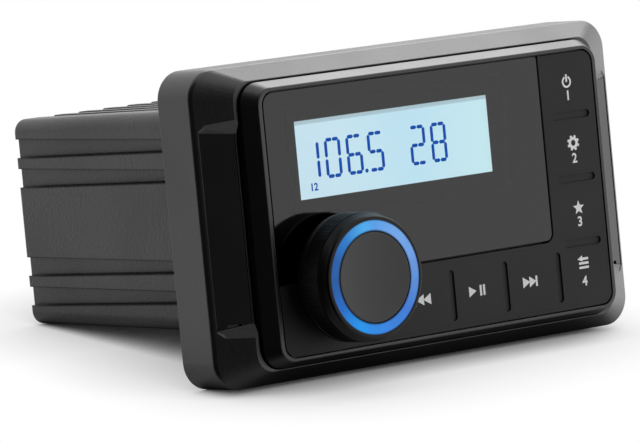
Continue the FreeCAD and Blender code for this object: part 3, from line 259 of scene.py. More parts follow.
def skin_group():
    """Surface of a moulded or coated part: slow tone drift, fine grain and softened, lighter edges."""
    f, c = "NodeSocketFloat", "NodeSocketColor"
    tree, gi, go = group_tree("part surface", [
        ("Colour", c, (0.02, 0.02, 0.02, 1)), ("Edge colour", c, (0.05, 0.05, 0.05, 1)),
        ("Edge radius", f, 0.0002), ("Tone drift", f, 0.1), ("Grain scale", f, 3000.0),
        ("Grain depth", f, 0.1), ("Roughness", f, 0.4), ("Dust", f, 0.0)],
        [("Colour", c), ("Roughness", f), ("Normal", "NodeSocketVector")])
    given, where = gi.outputs, object_place(tree)
    grain = noise(tree, where, given["Grain scale"], 3.0)
    pits = node(tree, "ShaderNodeTexVoronoi", feature="SMOOTH_F1")
    fill(tree, pits, Vector=where, Scale=times(tree, given["Grain scale"], PIT_SCALE))
    pits = pits.outputs["Distance"]
    soft = node(tree, "ShaderNodeBevel", samples=EDGE_SAMPLES)
    fill(tree, soft, Radius=given["Edge radius"])
    bend = dot(tree, soft.outputs[0], node(tree, "ShaderNodeNewGeometry").outputs["Normal"])
    edge = times(tree, spread(tree, bend, *EDGE_BEND, 0.0, 1.0), EDGE_AMOUNT)
    drift = spread(tree, noise(tree, where, DRIFT_SCALE, 4.0), *CLOUD, -1.0, 1.0)
    tone = times(tree, maths(tree, "MULTIPLY_ADD", drift, given["Tone drift"], 1.0),
                 spread(tree, grain, 0.25, 0.75, *GRAIN_TONE))
    colour = blend_colour(tree, edge, scaled(tree, given["Colour"], tone), given["Edge colour"])
    specks = times(tree, spread(tree, pits, 0.0, PIT_SPECK, 1.0, 0.0), given["Dust"])
    bump = node(tree, "ShaderNodeBump")
    fill(tree, bump, Distance=BUMP_DEPTH * MM, Strength=given["Grain depth"], Normal=soft.outputs[0],
         Height=maths(tree, "MULTIPLY_ADD", pits, PIT_SHARE, grain))
    fill(tree, go, Colour=blend_colour(tree, specks, colour, DUST_COLOUR), Normal=bump.outputs[0],
         Roughness=maths(tree, "MULTIPLY_ADD", drift, ROUGH_DRIFT, given["Roughness"]))
    return tree


def brushed_group():
    """Drawn or plated metal: fine streaks along one axis with small tone changes."""
    f, c = "NodeSocketFloat", "NodeSocketColor"
    tree, gi, go = group_tree("drawn metal", [
        ("Colour", c, (0.6, 0.6, 0.6, 1)), ("Streak scale", f, 2500.0), ("Roughness", f, 0.3)],
        [("Colour", c), ("Roughness", f), ("Normal", "NodeSocketVector")])
    stretch = node(tree, "ShaderNodeMapping")
    fill(tree, stretch, Vector=object_place(tree), Scale=(1.0, STREAK_LONG, 1.0))
    streak = noise(tree, stretch.outputs[0], gi.outputs["Streak scale"], 5.0)
    bump = node(tree, "ShaderNodeBump")
    fill(tree, bump, Distance=STREAK_DEPTH * MM, Strength=STREAK_STRENGTH, Height=streak)
    fill(tree, go, Normal=bump.outputs[0],
         Colour=scaled(tree, gi.outputs["Colour"], spread(tree, streak, *CLOUD, *STREAK_TONE)),
         Roughness=maths(tree, "MULTIPLY_ADD", streak, STREAK_ROUGH, gi.outputs["Roughness"]))
    return tree


SKIN, DRAWN = skin_group(), brushed_group()


def new_material(name):
    m = bpy.data.materials.new(name)
    m.use_nodes = True
    tree = m.node_tree
    return m, tree, tree.nodes["Principled BSDF"]


def grouped_material(name, group, **values):
    """Material whose colour, roughness and normal come from a group."""
    m, tree, bsdf = new_material(name)
    g = node(tree, "ShaderNodeGroup", node_tree=group)
    fill(tree, g, **values)
    fill(tree, bsdf, Base_Color=g.outputs["Colour"], Roughness=g.outputs["Roughness"],
         Normal=g.outputs["Normal"])
    return m, tree, bsdf


def plastic(name, colour, rough, edge=None, radius=0.2, grain=3000.0, depth=0.1, drift=0.08, dust=0.0,
            specular=0.5, coat=0.0):
    m, tree, bsdf = grouped_material(
        name, SKIN, Colour=colour, Edge_colour=edge or [min(1, v * 1.8 + 0.01) for v in colour],
        Edge_radius=radius * MM, Tone_drift=drift, Grain_scale=grain,
        Grain_depth=depth * GRAIN_UNIT / BUMP_DEPTH, Roughness=rough, Dust=dust)
    fill(tree, bsdf, Specular_IOR_Level=specular)
    if coat:
        fill(tree, bsdf, Coat_Weight=coat, Coat_Roughness=COAT_ROUGH)
    return m


def metal(name, colour, rough, streak=2500.0):
    m, tree, bsdf = grouped_material(name, DRAWN, Colour=colour, Streak_scale=streak, Roughness=rough)
    fill(tree, bsdf, Metallic=1.0)
    return m


def lit_material(m, tree, bsdf, colour, share, **values):
    """Surface that glows in a colour and reflects a share of it."""
    fill(tree, bsdf, Emission_Color=colour,
         Base_Color=blend_colour(tree, 1.0, colour, (share,) * 3, "MULTIPLY"), **values)
    return m


def window_material():
    """Clear pane; its gloss comes from the coat, so what lies behind it keeps its place."""
    m, tree, bsdf = new_material("window_clear")
    clear = blend_colour(tree, noise(tree, object_place(tree), PANE_TINT_SCALE), PANE_TINT, WHITE)
    rim = maths(tree, "LESS_THAN", maths(tree, "ABSOLUTE", axes(tree, true_normal(tree))[1]), PANE_RIM)
    x, y, z = axes(tree, object_place(tree))
    away_x = maths(tree, "ABSOLUTE", from_middle(tree, x, LCD_MID_X))
    away_z = maths(tree, "ABSOLUTE", from_middle(tree, z, LCD_MID_Z))
    around = [fade(tree, away, half + PANE_CLEAR - PANE_FADE, half + PANE_CLEAR + PANE_FADE, 0.0, 1.0)
              for away, half in ((away_x, LCD_HALF_X), (away_z, LCD_HALF_Z))]
    black = maths(tree, "MAXIMUM", rim, maths(tree, "MAXIMUM", *around))
    front = maths(tree, "LESS_THAN", y, (FACE_Y + PANE_FRONT) * MM)
    lit = times(tree, fade(tree, x, LCD_X0 + GLARE_X0[0], LCD_X0 + GLARE_X0[1], 0.0, 1.0),
                fade(tree, x, LCD_X1 + GLARE_X1[0], LCD_X1 + GLARE_X1[1], 1.0, 0.0),
                fade(tree, away_z, LCD_HALF_Z - GLARE_Z, LCD_HALF_Z, DISPLAY_GLARE, 0.0))
    fill(tree, bsdf, Base_Color=blend_colour(tree, black, clear, BLACK), Transmission_Weight=1.0,
         Roughness=0.0, IOR=1.0, Coat_Weight=maths(tree, "SUBTRACT", front, lit, clamp=True),
         Coat_IOR=1.6, Coat_Roughness=0.06)
    return m


def lcd_material():
    """Backlit display: a pale blue field, brighter to the right, with painted shade in a strip along its
    top edge.
    """
    m, tree, bsdf = new_material("display_field")
    x, _, z = axes(tree, object_place(tree))
    uneven = maths(tree, "SUBTRACT", noise(tree, object_place(tree), LCD_CLOUD_SCALE), 0.5)
    across = maths(tree, "MULTIPLY_ADD", uneven, LCD_CLOUD,
                   spread(tree, x, LCD_X0 * MM, LCD_X1 * MM, 0.0, 1.0))
    middle = maths(tree, "ABSOLUTE", spread(tree, x, LCD_X0 * MM, LCD_X1 * MM, *LCD_CENTRE))
    colour = blend_colour(tree, spread(tree, middle, 0.0, LCD_CENTRE[1], LCD_CENTRE_AMOUNT, 0.0, True),
                          blend_colour(tree, across, LCD_LEFT, LCD_RIGHT), LCD_MIDDLE)
    # painted shade: the top strip is darkened as if shaded by the window print's edge
    top = spread(tree, z, LCD_SHADE_STRIP[0] * MM, LCD_SHADE_STRIP[1] * MM, 0.0, LCD_PAINTED_SHADE_AMOUNT)
    return lit_material(m, tree, bsdf, blend_colour(tree, top, colour, LCD_PAINTED_SHADE), 0.1,
                        Emission_Strength=1.0, Roughness=0.35, Specular_IOR_Level=0.1)


def segment_material():
    m, tree, bsdf = new_material("display_segments")
    grain = noise(tree, object_place(tree), SEGMENT_SCALE)
    colour = blend_colour(tree, grain, SEGMENT_DARK, SEGMENT_LIGHT)
    return lit_material(m, tree, bsdf, colour, 0.2, Emission_Strength=1.0, Roughness=0.5,
                        Specular_IOR_Level=0.0)


def ring_material():
    """Lit ring of the knob: azure at the lower left, paler and more violet to the right."""
    m, tree, bsdf = new_material("ring_glow")
    x, _, z = axes(tree, object_place(tree))
    dx, dz = from_middle(tree, x, KNOB_X), from_middle(tree, z, KNOB_Z)
    radius = maths(tree, "SQRT", maths(tree, "ADD", times(tree, dx, dx), times(tree, dz, dz)))
    ramp = node(tree, "ShaderNodeValToRGB")
    stops = ramp.color_ramp.elements
    while len(stops) < len(RING_STOPS):
        stops.new(0.5)
    for stop, (place, colour) in zip(stops, RING_STOPS):
        stop.position, stop.color = place, (*colour, 1)
    wire(tree, spread(tree, maths(tree, "ARCTAN2", dz, dx), -math.pi, math.pi, 0.0, 1.0), ramp.inputs[0])
    level = times(tree, fade(tree, radius, *RING_INSIDE, RING_INNER_LEVEL, 1.0),
                  fade(tree, radius, *RING_OUTSIDE, RING_OUTER_LEVEL, 1.0),
                  spread(tree, noise(tree, object_place(tree), RING_CLOUD_SCALE), *CLOUD, *RING_CLOUD),
                  maths(tree, "LESS_THAN", axes(tree, true_normal(tree))[1], RING_FRONT))
    return lit_material(m, tree, bsdf, scaled(tree, ramp.outputs[0], level), 0.15,
                        Emission_Strength=0.85, Roughness=0.35, Specular_IOR_Level=0.2)


# Materials: colour, roughness, then edge radius in millimetres, grain scale and grain depth

MAT = {
    "trim": plastic("trim_satin", (0.004, 0.004, 0.0042), 0.34, radius=0.25, grain=3600.0, depth=0.5,
                    specular=0.88),
    "cover": plastic("cover_gloss", (0.001, 0.001, 0.0012), 0.24, radius=0.15, grain=2600.0, depth=0.03,
                     specular=0.3),
    "casting": plastic("casting_powder_coat", (0.006, 0.006, 0.0063), 0.40, radius=0.3, grain=3200.0,
                       depth=1.3, drift=0.10, dust=0.16, specular=0.82),
    "fascia": plastic("fascia_satin", (0.003, 0.003, 0.0032), 0.34, radius=0.2, grain=3600.0, depth=0.35,
                      edge=(0.02, 0.02, 0.021), specular=0.72),
    "keypad": plastic("keypad_rubber", (0.004, 0.004, 0.0042), 0.55, radius=0.15, grain=6500.0,
                      depth=0.25, specular=0.35),
    "seal": plastic("seal_rubber", (0.012, 0.012, 0.012), 0.7, grain=4000.0, depth=0.3),
    "carrier": plastic("carrier_plastic", (0.02, 0.02, 0.02), 0.5, grain=3000.0),
    "print": plastic("window_print", (0.0004, 0.0004, 0.0005), 0.8, radius=0.004, grain=600.0,
                     depth=0.0, specular=0.0),
    "knob": plastic("knob_satin", (0.001, 0.001, 0.001), 0.36, radius=0.15, grain=4200.0, depth=0.08,
                    specular=0.25),
    "grip": plastic("knob_grip", (0.001, 0.001, 0.001), 0.42, radius=0.05, grain=4200.0, depth=0.1,
                    specular=0.3),
    "cap": plastic("knob_cap_satin", (0.017, 0.017, 0.0178), 0.38, radius=0.3, grain=5200.0, depth=0.12),
    "ink": plastic("key_ink", (0.92, 0.92, 0.92), 0.5, radius=0.01, grain=5000.0, depth=0.05, drift=0.04,
                   edge=(0.92, 0.92, 0.92)),
    "guide": plastic("guide_milky", (0.7, 0.74, 0.78), 0.3, grain=2000.0, depth=0.05),
    "board": plastic("board_mask", (0.012, 0.075, 0.035), 0.35, grain=1500.0, depth=0.2, drift=0.2,
                     coat=0.4),
    "carbon": plastic("carbon_pads", (0.02, 0.02, 0.02), 0.75, grain=6000.0, depth=0.3),
    "led": plastic("led_body", (0.75, 0.72, 0.55), 0.3, grain=2500.0, depth=0.05),
    "chip": plastic("chip_mould", (0.018, 0.018, 0.019), 0.55, grain=4200.0, depth=0.3),
    "pad": plastic("thermal_pad", (0.32, 0.33, 0.35), 0.8, grain=2500.0, depth=0.3),
    "sleeve": plastic("capacitor_sleeve", (0.012, 0.012, 0.045), 0.28, grain=1500.0, depth=0.05),
    "socket": plastic("socket_nylon", (0.016, 0.016, 0.016), 0.45, grain=3500.0, depth=0.15),
    "insert": plastic("jack_insert", (0.55, 0.03, 0.025), 0.35, grain=2500.0, depth=0.05),
    "film": plastic("ribbon_film", (0.72, 0.72, 0.70), 0.35, grain=1800.0, depth=0.05),
    "steel": metal("zinc_plated_steel", (0.60, 0.60, 0.58), 0.30),
    "tin": metal("tinned_shield", (0.66, 0.66, 0.65), 0.34, 900.0),
    "plated": metal("jack_plating", (0.72, 0.71, 0.69), 0.18, 1800.0),
    "gold": metal("pin_plating", (0.78, 0.56, 0.22), 0.25, 3000.0),
    "copper": metal("enamelled_copper", (0.55, 0.22, 0.09), 0.30, 3500.0),
    "window": window_material(),
    "field": lcd_material(),
    "segments": segment_material(),
    "ring": ring_material(),
}

NODE_MATERIAL = {
    "trim": ("trim_bezel",), "cover": ("side_cover_left", "side_cover_right"),
    "casting": ("chassis",), "fascia": ("fascia_frame",), "window": ("display_window",),
    "keypad": ("keypad_mat", "key_power", "key_settings", "key_favourites", "key_back", "key_next",
               "key_play", "key_previous"),
    "seal": ("panel_gasket", "fascia_gasket", "lcd_foam"), "carrier": ("front_carrier", "lcd_holder"),
    "field": ("lcd_glass",), "guide": ("lcd_light_guide", "ring_light_pipe"),
    "board": ("front_pcb", "main_pcb"), "carbon": ("contact_pads",), "led": ("lcd_leds", "knob_leds"),
    "steel": ("fascia_screws", "front_pcb_screws", "encoder_body", "encoder_plunger",
              "encoder_shaft", "main_pcb_screws", "amplifier_clamp", "amplifier_screws"),
    "knob": ("knob_body",), "ring": ("knob_light_ring",), "cap": ("knob_cap",),
    "chip": ("amplifier_chip", "logic_chips"), "pad": ("amplifier_pad",),
    "sleeve": ("filter_capacitors",), "copper": ("filter_choke",),
    "tin": ("tuner_module", "wireless_module"), "film": ("ribbon_cable",),
    "socket": ("ribbon_connectors", "power_socket", "rca_block"), "gold": ("power_pins",),
    "plated": ("rca_barrels", "aerial_socket"), "insert": ("rca_inserts",),
}


def shade_groove_steps(material):
    """Painted shade: a dark line on the upper step of each side rib of the casting, where the groove shades
    it, and a finer one on the lower step.
    """
    tree = material.node_tree
    bsdf = tree.nodes["Principled BSDF"]
    soft = node(tree, "ShaderNodeBevel", samples=STEP_SAMPLES)
    fill(tree, soft, Radius=STEP_REACH * MM)
    local = node(tree, "ShaderNodeVectorTransform", vector_type="NORMAL", convert_from="WORLD",
                 convert_to="OBJECT")
    wire(tree, soft.outputs[0], local.inputs[0])
    rise = axes(tree, local.outputs[0])[2]
    x, y, z = axes(tree, object_place(tree))
    upper = times(tree, spread(tree, rise, *STEP_UP, 0.0, 1.0),
                  maths(tree, "LESS_THAN", z, STEP_TOP * MM), fade(tree, y, *STEP_FADE, 1.0, STEP_REAR))
    lower = times(tree, spread(tree, rise, *STEP_DOWN, 0.0, STEP_FINE),
                  maths(tree, "GREATER_THAN", z, STEP_BOTTOM * MM))
    # painted shade: black base colour and full metal turn the step lines black
    painted_step_shade = times(tree, maths(tree, "MAXIMUM", upper, lower),
                 maths(tree, "GREATER_THAN", maths(tree, "ABSOLUTE", x), STEP_SIDE * MM),
                 maths(tree, "GREATER_THAN", y, STEP_AHEAD * MM))
    colour = bsdf.inputs["Base Color"].links[0].from_socket
    fill(tree, bsdf, Base_Color=blend_colour(tree, painted_step_shade, colour, BLACK), Metallic=painted_step_shade)


def dress_nodes():
    shade_groove_steps(MAT["casting"])
    for finish, names in NODE_MATERIAL.items():
        for name in names:
            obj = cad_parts[name]
            if not obj.material_slots:
                obj.data.materials.append(MAT[finish])
            for s in obj.material_slots:
                s.material = MAT[finish]


# Flat pieces on the face, outlines in (x, z) millimetres

def polar(x, z, r, a):
    return x + r * math.cos(a), z + r * math.sin(a)


def round_box(x0, x1, z0, z1, r, steps=CORNER_STEPS):
    """Counter-clockwise outline; r is one radius or four (left low, right low, right high, left high)."""
    rs = r if isinstance(r, tuple) else (r,) * 4
    out = []
    for i, (q, cx, cz) in enumerate(zip(rs, (x0, x1, x1, x0), (z0, z0, z1, z1))):
        if q == 0:
            out.append((cx, cz))
            continue
        ox, oz = cx + (q if cx == x0 else -q), cz + (q if cz == z0 else -q)
        out += [polar(ox, oz, q, math.pi * (1 + i * 0.5) + k / steps * math.pi / 2)
                for k in range(steps + 1)]
    return out


def circle(x, z, r, n=48, start=0.0, end=math.tau):
    """Circle of n points, or an arc of n + 1."""
    full = abs(end - start - math.tau) < 1e-6
    return [polar(x, z, r, start + (end - start) * k / n) for k in range(n if full else n + 1)]


def bar(x0, x1, z0, z1):
    return [(x0, z0), (x1, z0), (x1, z1), (x0, z1)]


def standing_mesh(data, x, y0, y1, z):
    """Mesh of a flat curve, stood upright between the depths y0 and y1."""
    data.extrude = (y1 - y0) / 2 * MM
    obj = new_object(data.name, data)
    mesh = evaluated_mesh(obj)
    bpy.data.objects.remove(obj)
    bpy.data.curves.remove(data)
    mesh.transform(Matrix.Translation((x * MM, (y0 + y1) / 2 * MM, z * MM))
                   @ Matrix.Rotation(math.pi / 2, 4, "X"))
    return mesh


def plate_mesh(loops, y0, y1):
    """Closed flat plate from outlines; an outline inside another is a hole."""
    data = bpy.data.curves.new("outline", "CURVE")
    data.dimensions, data.fill_mode = "2D", "BOTH"
    for loop in loops:
        s = data.splines.new("POLY")
        s.points.add(len(loop) - 1)
        for p, (x, z) in zip(s.points, loop):
            p.co = (x * MM, z * MM, 0, 1)
        s.use_cyclic_u = True
    return standing_mesh(data, 0, y0, y1, 0)


def piece(name, meshes, body, material, replaces=()):
    """Joins meshes into one object that rides on a body."""
    bm = bmesh.new()
    for me in meshes:
        bm.from_mesh(me)
        bpy.data.meshes.remove(me)
    bmesh.ops.remove_doubles(bm, verts=bm.verts, dist=1e-7)
    bmesh.ops.recalc_face_normals(bm, faces=bm.faces)
    mesh = bpy.data.meshes.new(name)
    bm.to_mesh(mesh)
    bm.free()
    mesh.materials.append(material)
    obj = new_object(name, mesh)
    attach(obj, body)
    if replaces:
        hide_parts(*replaces)


def key_table():
    """Name and edges of each key: left, right, low, high."""
    out_x, out_z = LIP_X - FACE_GAP - KEY_EDGE, LIP_Z - FACE_GAP - KEY_EDGE
    col0 = SPLIT_X + SPLIT_W / 2 + KEY_EDGE
    row1 = SPLIT_Z - SPLIT_W / 2 - KEY_EDGE
    g = RIB_W / 2 + RIB_GAP
    return (
        ("key_power", col0, out_x, COL_Z1 + g, out_z),
        ("key_settings", col0, out_x, COL_Z2 + g, COL_Z1 - g),
        ("key_favourites", col0, out_x, COL_Z3 + g, COL_Z2 - g),
        ("key_back", ROW_X3 + g, out_x, -out_z, COL_Z3 - g),
        ("key_next", ROW_X2 + g, ROW_X3 - g, -out_z, row1),
        ("key_play", ROW_X1 + g, ROW_X2 - g, -out_z, row1),
        ("key_previous", ROW_X0, ROW_X1 - g, -out_z, row1),
    )


KEY_RIBS = tuple((COL_MID_X, z, True) for z in (COL_Z1, COL_Z2, COL_Z3)) + tuple(
    (x, ROW_MID_Z, False) for x in (ROW_X1, ROW_X2, ROW_X3))


def keypad_outline():
    """L-shaped outline: right column and bottom row, cut short at the knob."""
    x, z, r = LIP_X - FACE_GAP, LIP_Z - FACE_GAP, LIP_R - FACE_GAP
    col, row = SPLIT_X + SPLIT_W / 2, SPLIT_Z - SPLIT_W / 2
    q = SPLIT_R + SPLIT_W
    hole = PIPE_R + PIPE_GAP
    a_row = math.asin((row - KNOB_Z) / hole)
    # of the box's corners the first three stay; the inner corner replaces the last
    corners = round_box(-x, x, -z, z, r)[:3 * (CORNER_STEPS + 1)]
    inner = [(col, z)] + [polar(col - q, row + q, q, -k / CORNER_STEPS * math.pi / 2)
                          for k in range(CORNER_STEPS + 1)]
    arc = circle(KNOB_X, KNOB_Z, hole, ARC_STEPS, a_row, -math.pi - a_row)
    return corners + inner + arc + [(-x, row)]


def rib_hole(x, z, flat):
    w, h = (RIB_L, RIB_W) if flat else (RIB_W, RIB_L)
    return round_box(x - w / 2, x + w / 2, z - h / 2, z + h / 2, RIB_END_R, RIB_STEPS)


def make_keypad():
    """The mat and its keys meet at a hair seam, as one moulding looks."""
    outline = keypad_outline()
    holes = [round_box(x0, x1, z0, z1, KEY_R) for _, x0, x1, z0, z1 in key_table()]
    ribs = [rib_hole(*r) for r in KEY_RIBS]
    piece("keypad_mat_skin", [
        plate_mesh([outline] + holes + ribs, FACE_Y, FACE_Y + RIB_D),
        plate_mesh([outline] + holes, FACE_Y + RIB_D, BACK_Y)],
        "unit", MAT["keypad"], ("keypad_mat",))
    g, h = KEY_SEAM, POST_W / 2
    most_x, most_z = LIP_X - LEDGE_IN - h - POST_EDGE_X, LIP_Z - LEDGE_IN - h - POST_EDGE_Z
    for name, x0, x1, z0, z1 in key_table():
        px = min((x0 + x1) / 2, most_x)
        pz = min(max((z0 + z1) / 2, -most_z), most_z)
        piece(name + "_skin", [
            plate_mesh([round_box(x0 + g, x1 - g, z0 + g, z1 - g, KEY_R)], FACE_Y, FACE_Y + KEY_T),
            plate_mesh([round_box(px - h, px + h, pz - h, pz + h, POST_R)], FACE_Y + KEY_T, POST_END_Y)],
            name, MAT["keypad"], (name,))


# Signs on the keys

def digit_mesh(text, x, z, height, y0, y1):
    data = bpy.data.curves.new("digits", "FONT")
    data.body, data.size = text, height / TYPE_CAP * MM
    data.align_x, data.align_y = "CENTER", "CENTER"
    data.offset = height * TYPE_BOLD * MM
    data.resolution_u = 3
    return standing_mesh(data, x, y0, y1, z)


def arc_band(x, z, r1, r0, a0, a1, n=24):
    return circle(x, z, r1, n, a0, a1) + circle(x, z, r0, n, a0, a1)[::-1]


def star(x, z, r1, r0, points=5):
    return [polar(x, z, r0 if k % 2 else r1, math.pi / 2 + k * math.pi / points) for k in range(points * 2)]


def gear(x, z, r1, r0, teeth=8):
    return [polar(x, z, r, (k + part) * math.tau / teeth + math.pi / teeth) for k in range(teeth)
            for part, r in ((-0.30, r0), (-0.20, r1), (0.20, r1), (0.30, r0))]


def triangle(x_flat, x_tip, z, half):
    return [(x_flat, z - half), (x_tip, z), (x_flat, z + half)]


def signs():
    """Outlines of each key's sign; an outline inside another is a hole."""
    px, pz = 43.22, 23.95
    gap = math.radians(24)
    mid, low, high = -22.77, -24.05, -21.5          # signs of the row
    bars = [[bar(41.9, 45.0, z, z + 0.58)] for z in (-21.75, -20.7)]
    return {
        "key_power": [[arc_band(px, pz, 1.48, 1.0, math.pi / 2 + gap, math.pi / 2 - gap + math.tau)],
                      [bar(px - 0.27, px + 0.27, pz - 0.05, pz + 1.85)]],
        "key_settings": [[gear(43.62, 9.0, 1.93, 1.48), circle(43.62, 9.0, 0.72, 24)]],
        "key_favourites": [[star(43.42, -6.85, 1.82, 0.8)]],
        "key_back": bars + [[[(41.45, -19.35), (43.1, -20.0), (43.1, -19.65), (45.0, -19.65),
                              (45.0, -19.05), (43.1, -19.05), (43.1, -18.5)]]],
        "key_next": [[triangle(23.3, 25.6, mid, 1.32)], [triangle(25.4, 27.6, mid, 1.32)],
                     [bar(27.4, 28.0, low, high)]],
        "key_play": [[triangle(5.95, 8.25, mid, 1.3)], [bar(9.38, 10.02, low, high)],
                     [bar(10.45, 11.09, low, high)]],
        "key_previous": [[triangle(-6.2, -8.6, mid, 1.35)], [triangle(-8.4, -10.8, mid, 1.35)],
                         [bar(-11.45, -10.85, low, high)]],
    }


def make_signs():
    meshes = {key: [plate_mesh(loops, INK_Y0, INK_Y1) for loops in drawn] for key, drawn in signs().items()}
    for key, x, z, text in NUMBERS:
        meshes[key].append(digit_mesh(text, x, z, NUMBER_H, INK_Y0, INK_Y1))
    for key, found in meshes.items():
        piece(key.replace("key_", "sign_"), found, key, MAT["ink"])


# Display

def slanted_bar(x0, z0, x1, z1, w):
    """Bar with pointed ends from one point to another."""
    d = Vector((x1 - x0, z1 - z0))
    u = d.normalized()
    n = Vector((-u.y, u.x)) * w / 2
    tip = min(w * TIP_BY_W, d.length * TIP_BY_L)
    a, b = Vector((x0, z0)), Vector((x1, z1))
    pts = [a, a + u * tip - n, b - u * tip - n, b, b - u * tip + n, a + u * tip + n]
    return [(p.x, p.y) for p in pts]


def digit_bars(char, x, z):
    left, right, mid = x + STROKE / 2, x + CELL_W - STROKE / 2, x + CELL_W / 2
    top, bottom = z + CELL_H / 2 - STROKE / 2, z - CELL_H / 2 + STROKE / 2

    def level(at):
        return [((left + STROKE_END, at), (mid - STROKE_MID, at)),
                ((mid + STROKE_MID, at), (right - STROKE_END, at))]

    def upright(at, low, high):
        return [((at, low + STROKE_GAP), (at, high - STROKE_GAP))]

    lines = {"a": level(top), "d": level(bottom), "g": level(z), "f": upright(left, z, top),
             "e": upright(left, bottom, z), "b": upright(right, z, top), "c": upright(right, bottom, z)}
    return [slanted_bar(*p, *q, STROKE) for part in LIT[char] for p, q in lines[part]]


def make_display():
    y0, y1 = (LCD_Y + step for step in PRINT_AHEAD)
    found = []
    for char, cell in zip(SHOWN, SHOWN_CELLS):
        x = CELL_X0 + cell * CELL_PITCH
        found += [plate_mesh([b], y0, y1) for b in digit_bars(char, x, CELL_Z)]
    dot_x = CELL_X0 + DOT_CELL * CELL_PITCH - (CELL_PITCH - CELL_W) / 2
    found.append(plate_mesh([circle(dot_x, CELL_Z - CELL_H / 2 + DOT_R, DOT_R, 16)], y0, y1))
    piece("display_digits", found, "unit", MAT["segments"])
    piece("display_channel", [digit_mesh(CHANNEL, CHANNEL_X, CHANNEL_Z, CHANNEL_H, y0, y1)], "unit",
          MAT["segments"])


def make_window_print():
    """Black print on the back of the window, open over the display and cut at the knob."""
    z = SPLIT_Z + SPLIT_W / 2 + PRINT_GAP
    outline = round_box(-LIP_X + FACE_GAP + PRINT_GAP, SPLIT_X - SPLIT_W / 2 - PRINT_GAP, z,
                        LIP_Z - FACE_GAP - PRINT_GAP, (0.0, SPLIT_R, WINDOW_R, LIP_R - FACE_GAP))
    hole = PIPE_R + PIPE_GAP + PRINT_GAP
    a = math.asin((z - KNOB_Z) / hole)
    outline[1:1] = circle(KNOB_X, KNOB_Z, hole, ARC_STEPS, math.pi - a, a)
    y0, y1 = (BACK_Y + step for step in PRINT_AHEAD)
    piece("window_print", [plate_mesh([outline, bar(LCD_X0, LCD_X1, LCD_Z0, LCD_Z1)], y0, y1)], "unit",
          MAT["print"])


# Knob grip

def grip_tree():
    tree = bpy.data.node_groups.new("grip ribs", "GeometryNodeTree")
    tree.interface.new_socket(name="Geometry", in_out="OUTPUT", socket_type="NodeSocketGeometry")
    ring = node(tree, "GeometryNodeMeshCircle")
    fill(tree, ring, Vertices=GRIP_RIBS, Radius=GRIP_R * MM)
    rib = node(tree, "GeometryNodeMeshCylinder")
    fill(tree, rib, Vertices=GRIP_SIDES, Radius=GRIP_RIB_R * MM, Depth=(GRIP_Y1 - GRIP_Y0) * MM)
    place = node(tree, "GeometryNodeInstanceOnPoints")
    fill(tree, place, Points=ring.outputs["Mesh"], Instance=rib.outputs["Mesh"])
    real = node(tree, "GeometryNodeRealizeInstances")
    wire(tree, place.outputs["Instances"], real.inputs[0])
    turn = node(tree, "GeometryNodeTransform")
    fill(tree, turn, Geometry=real.outputs[0], Rotation=(math.pi / 2, 0, 0),
         Translation=(KNOB_X * MM, (GRIP_Y0 + GRIP_Y1) / 2 * MM, KNOB_Z * MM))
    paint = node(tree, "GeometryNodeSetMaterial")
    fill(tree, paint, Geometry=turn.outputs[0], Material=MAT["grip"])
    wire(tree, paint.outputs[0], node(tree, "NodeGroupOutput").inputs[0])
    return tree


def make_grip():
    obj = new_object("knob_grip", bpy.data.meshes.new("ribs"))
    obj.modifiers.new("ribs", "NODES").node_group = grip_tree()
    made = evaluated_mesh(obj)
    obj.modifiers.clear()
    obj.data = made
    made.name = "knob_grip"
    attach(obj, "knob")


# Stage and light

def studio_level(tree, direction):
    """How bright the studio is seen in a reflection: light to the right, dark to the left."""
    level = spread(tree, dot(tree, direction, WORLD_SIDE), *WORLD_EDGE, GLOSS_LIGHT, GLOSS_DARK, True)
    lift = spread(tree, dot(tree, direction, BRIGHT_SIDE), *BRIGHT_EDGE, 1.0, BRIGHT_LIFT, True)
    return times(tree, level, lift)


def make_world():
    world = bpy.data.worlds.new("studio")
    bpy.context.scene.world = world
    world.use_nodes = True
    tree = world.node_tree
    ray = node(tree, "ShaderNodeLightPath").outputs
    dim = maths(tree, "MULTIPLY_ADD", ray["Is Diffuse Ray"], DIFFUSE_LEVEL - 1.0, 1.0)
    seen = studio_level(tree, node(tree, "ShaderNodeTexCoord").outputs["Generated"])
    level = maths(tree, "MAXIMUM", times(tree, seen, dim), ray["Is Camera Ray"])
    fill(tree, tree.nodes["Background"], Strength=level, Color=WHITE)


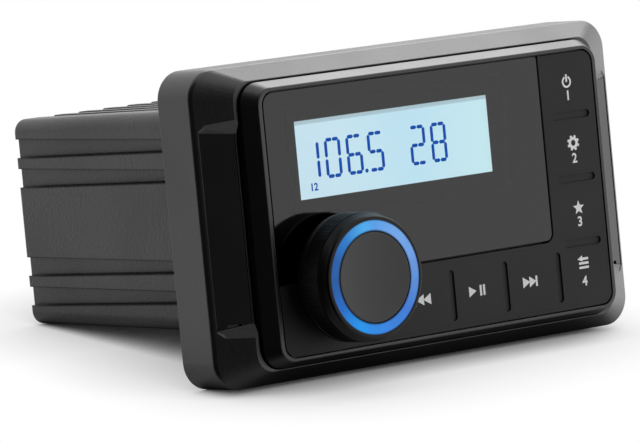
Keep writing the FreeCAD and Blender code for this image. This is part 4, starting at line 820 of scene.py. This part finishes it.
def make_floor():
    side = Vector((1, 0, 0))
    ahead = UP.cross(side).normalized()
    corners = [UP * FLOOR_D + side * sx * FLOOR_HALF + ahead * sy * FLOOR_HALF
               for sx, sy in ((-1, -1), (1, -1), (1, 1), (-1, 1))]
    mesh = bpy.data.meshes.new("floor")
    mesh.from_pydata([tuple(c) for c in corners], [], [(0, 1, 2, 3)])
    m, tree, bsdf = new_material("pale_floor")
    tone = noise(tree, object_place(tree), FLOOR_TONE_SCALE)
    fill(tree, bsdf, Base_Color=blend_colour(tree, tone, FLOOR_DARK, FLOOR_PALE), Roughness=0.9,
         Specular_IOR_Level=0.1)
    # Painted shadow: ambient occlusion darkens the floor's glow near the unit, as camera rays see it
    near = node(tree, "ShaderNodeAmbientOcclusion", samples=FLOOR_SHADE_SAMPLES)
    fill(tree, near, Distance=FLOOR_SHADE_REACH)
    near = near.outputs["AO"]
    power = fade(tree, axes(tree, object_place(tree))[1], -FLOOR_TURN, FLOOR_TURN, FLOOR_POWER_AHEAD,
                 FLOOR_POWER_BEHIND)
    open_share = spread(tree, near, FLOOR_SHADE_DARK, FLOOR_SHADE_LIGHT, 0.0, 1.0)
    shade = spread(tree, maths(tree, "POWER", open_share, power), 0.0, 1.0, FLOOR_CONTACT, 1.0)
    # Painted reflection: glossy rays see the studio's level, darkened under the unit by painted shade
    back = scaled(tree, node(tree, "ShaderNodeNewGeometry").outputs["Incoming"], -1.0)
    painted_reflected_shade = times(tree, maths(tree, "POWER", near, FLOOR_REFLECTED_SHADE_POWER), studio_level(tree, back))
    ray = node(tree, "ShaderNodeLightPath").outputs
    seen = node(tree, "ShaderNodeMix", data_type="FLOAT")
    for place, value in ((0, ray["Is Glossy Ray"]), (2, shade), (3, painted_reflected_shade)):
        wire(tree, value, seen.inputs[place])
    glow = node(tree, "ShaderNodeEmission")
    fill(tree, glow, Color=seen.outputs[0])
    mix = node(tree, "ShaderNodeMixShader")
    straight = maths(tree, "MAXIMUM", ray["Is Camera Ray"], ray["Is Glossy Ray"])
    for socket, value in zip(mix.inputs, (straight, bsdf.outputs[0], glow.outputs[0])):
        wire(tree, value, socket)
    wire(tree, mix.outputs[0], tree.nodes["Material Output"].inputs["Surface"])
    mesh.materials.append(m)
    obj = new_object("floor", mesh)


def make_lights():
    data = bpy.data.lights.new("softbox_top", "AREA")
    data.shape, data.energy = "RECTANGLE", SOFTBOX_WATTS
    data.size, data.size_y = SOFTBOX_SIZE
    lamp = new_object("softbox_top", data)
    lamp.location = SOFTBOX_AT
    lamp.rotation_euler = (-Vector(SOFTBOX_AT)).to_track_quat("-Z", "Y").to_euler()


make_camera()
make_world()
make_floor()
make_lights()
dress_nodes()
make_keypad()
make_signs()
make_display()
make_window_print()
make_grip()

bpy.context.scene.view_settings.view_transform = "Standard"
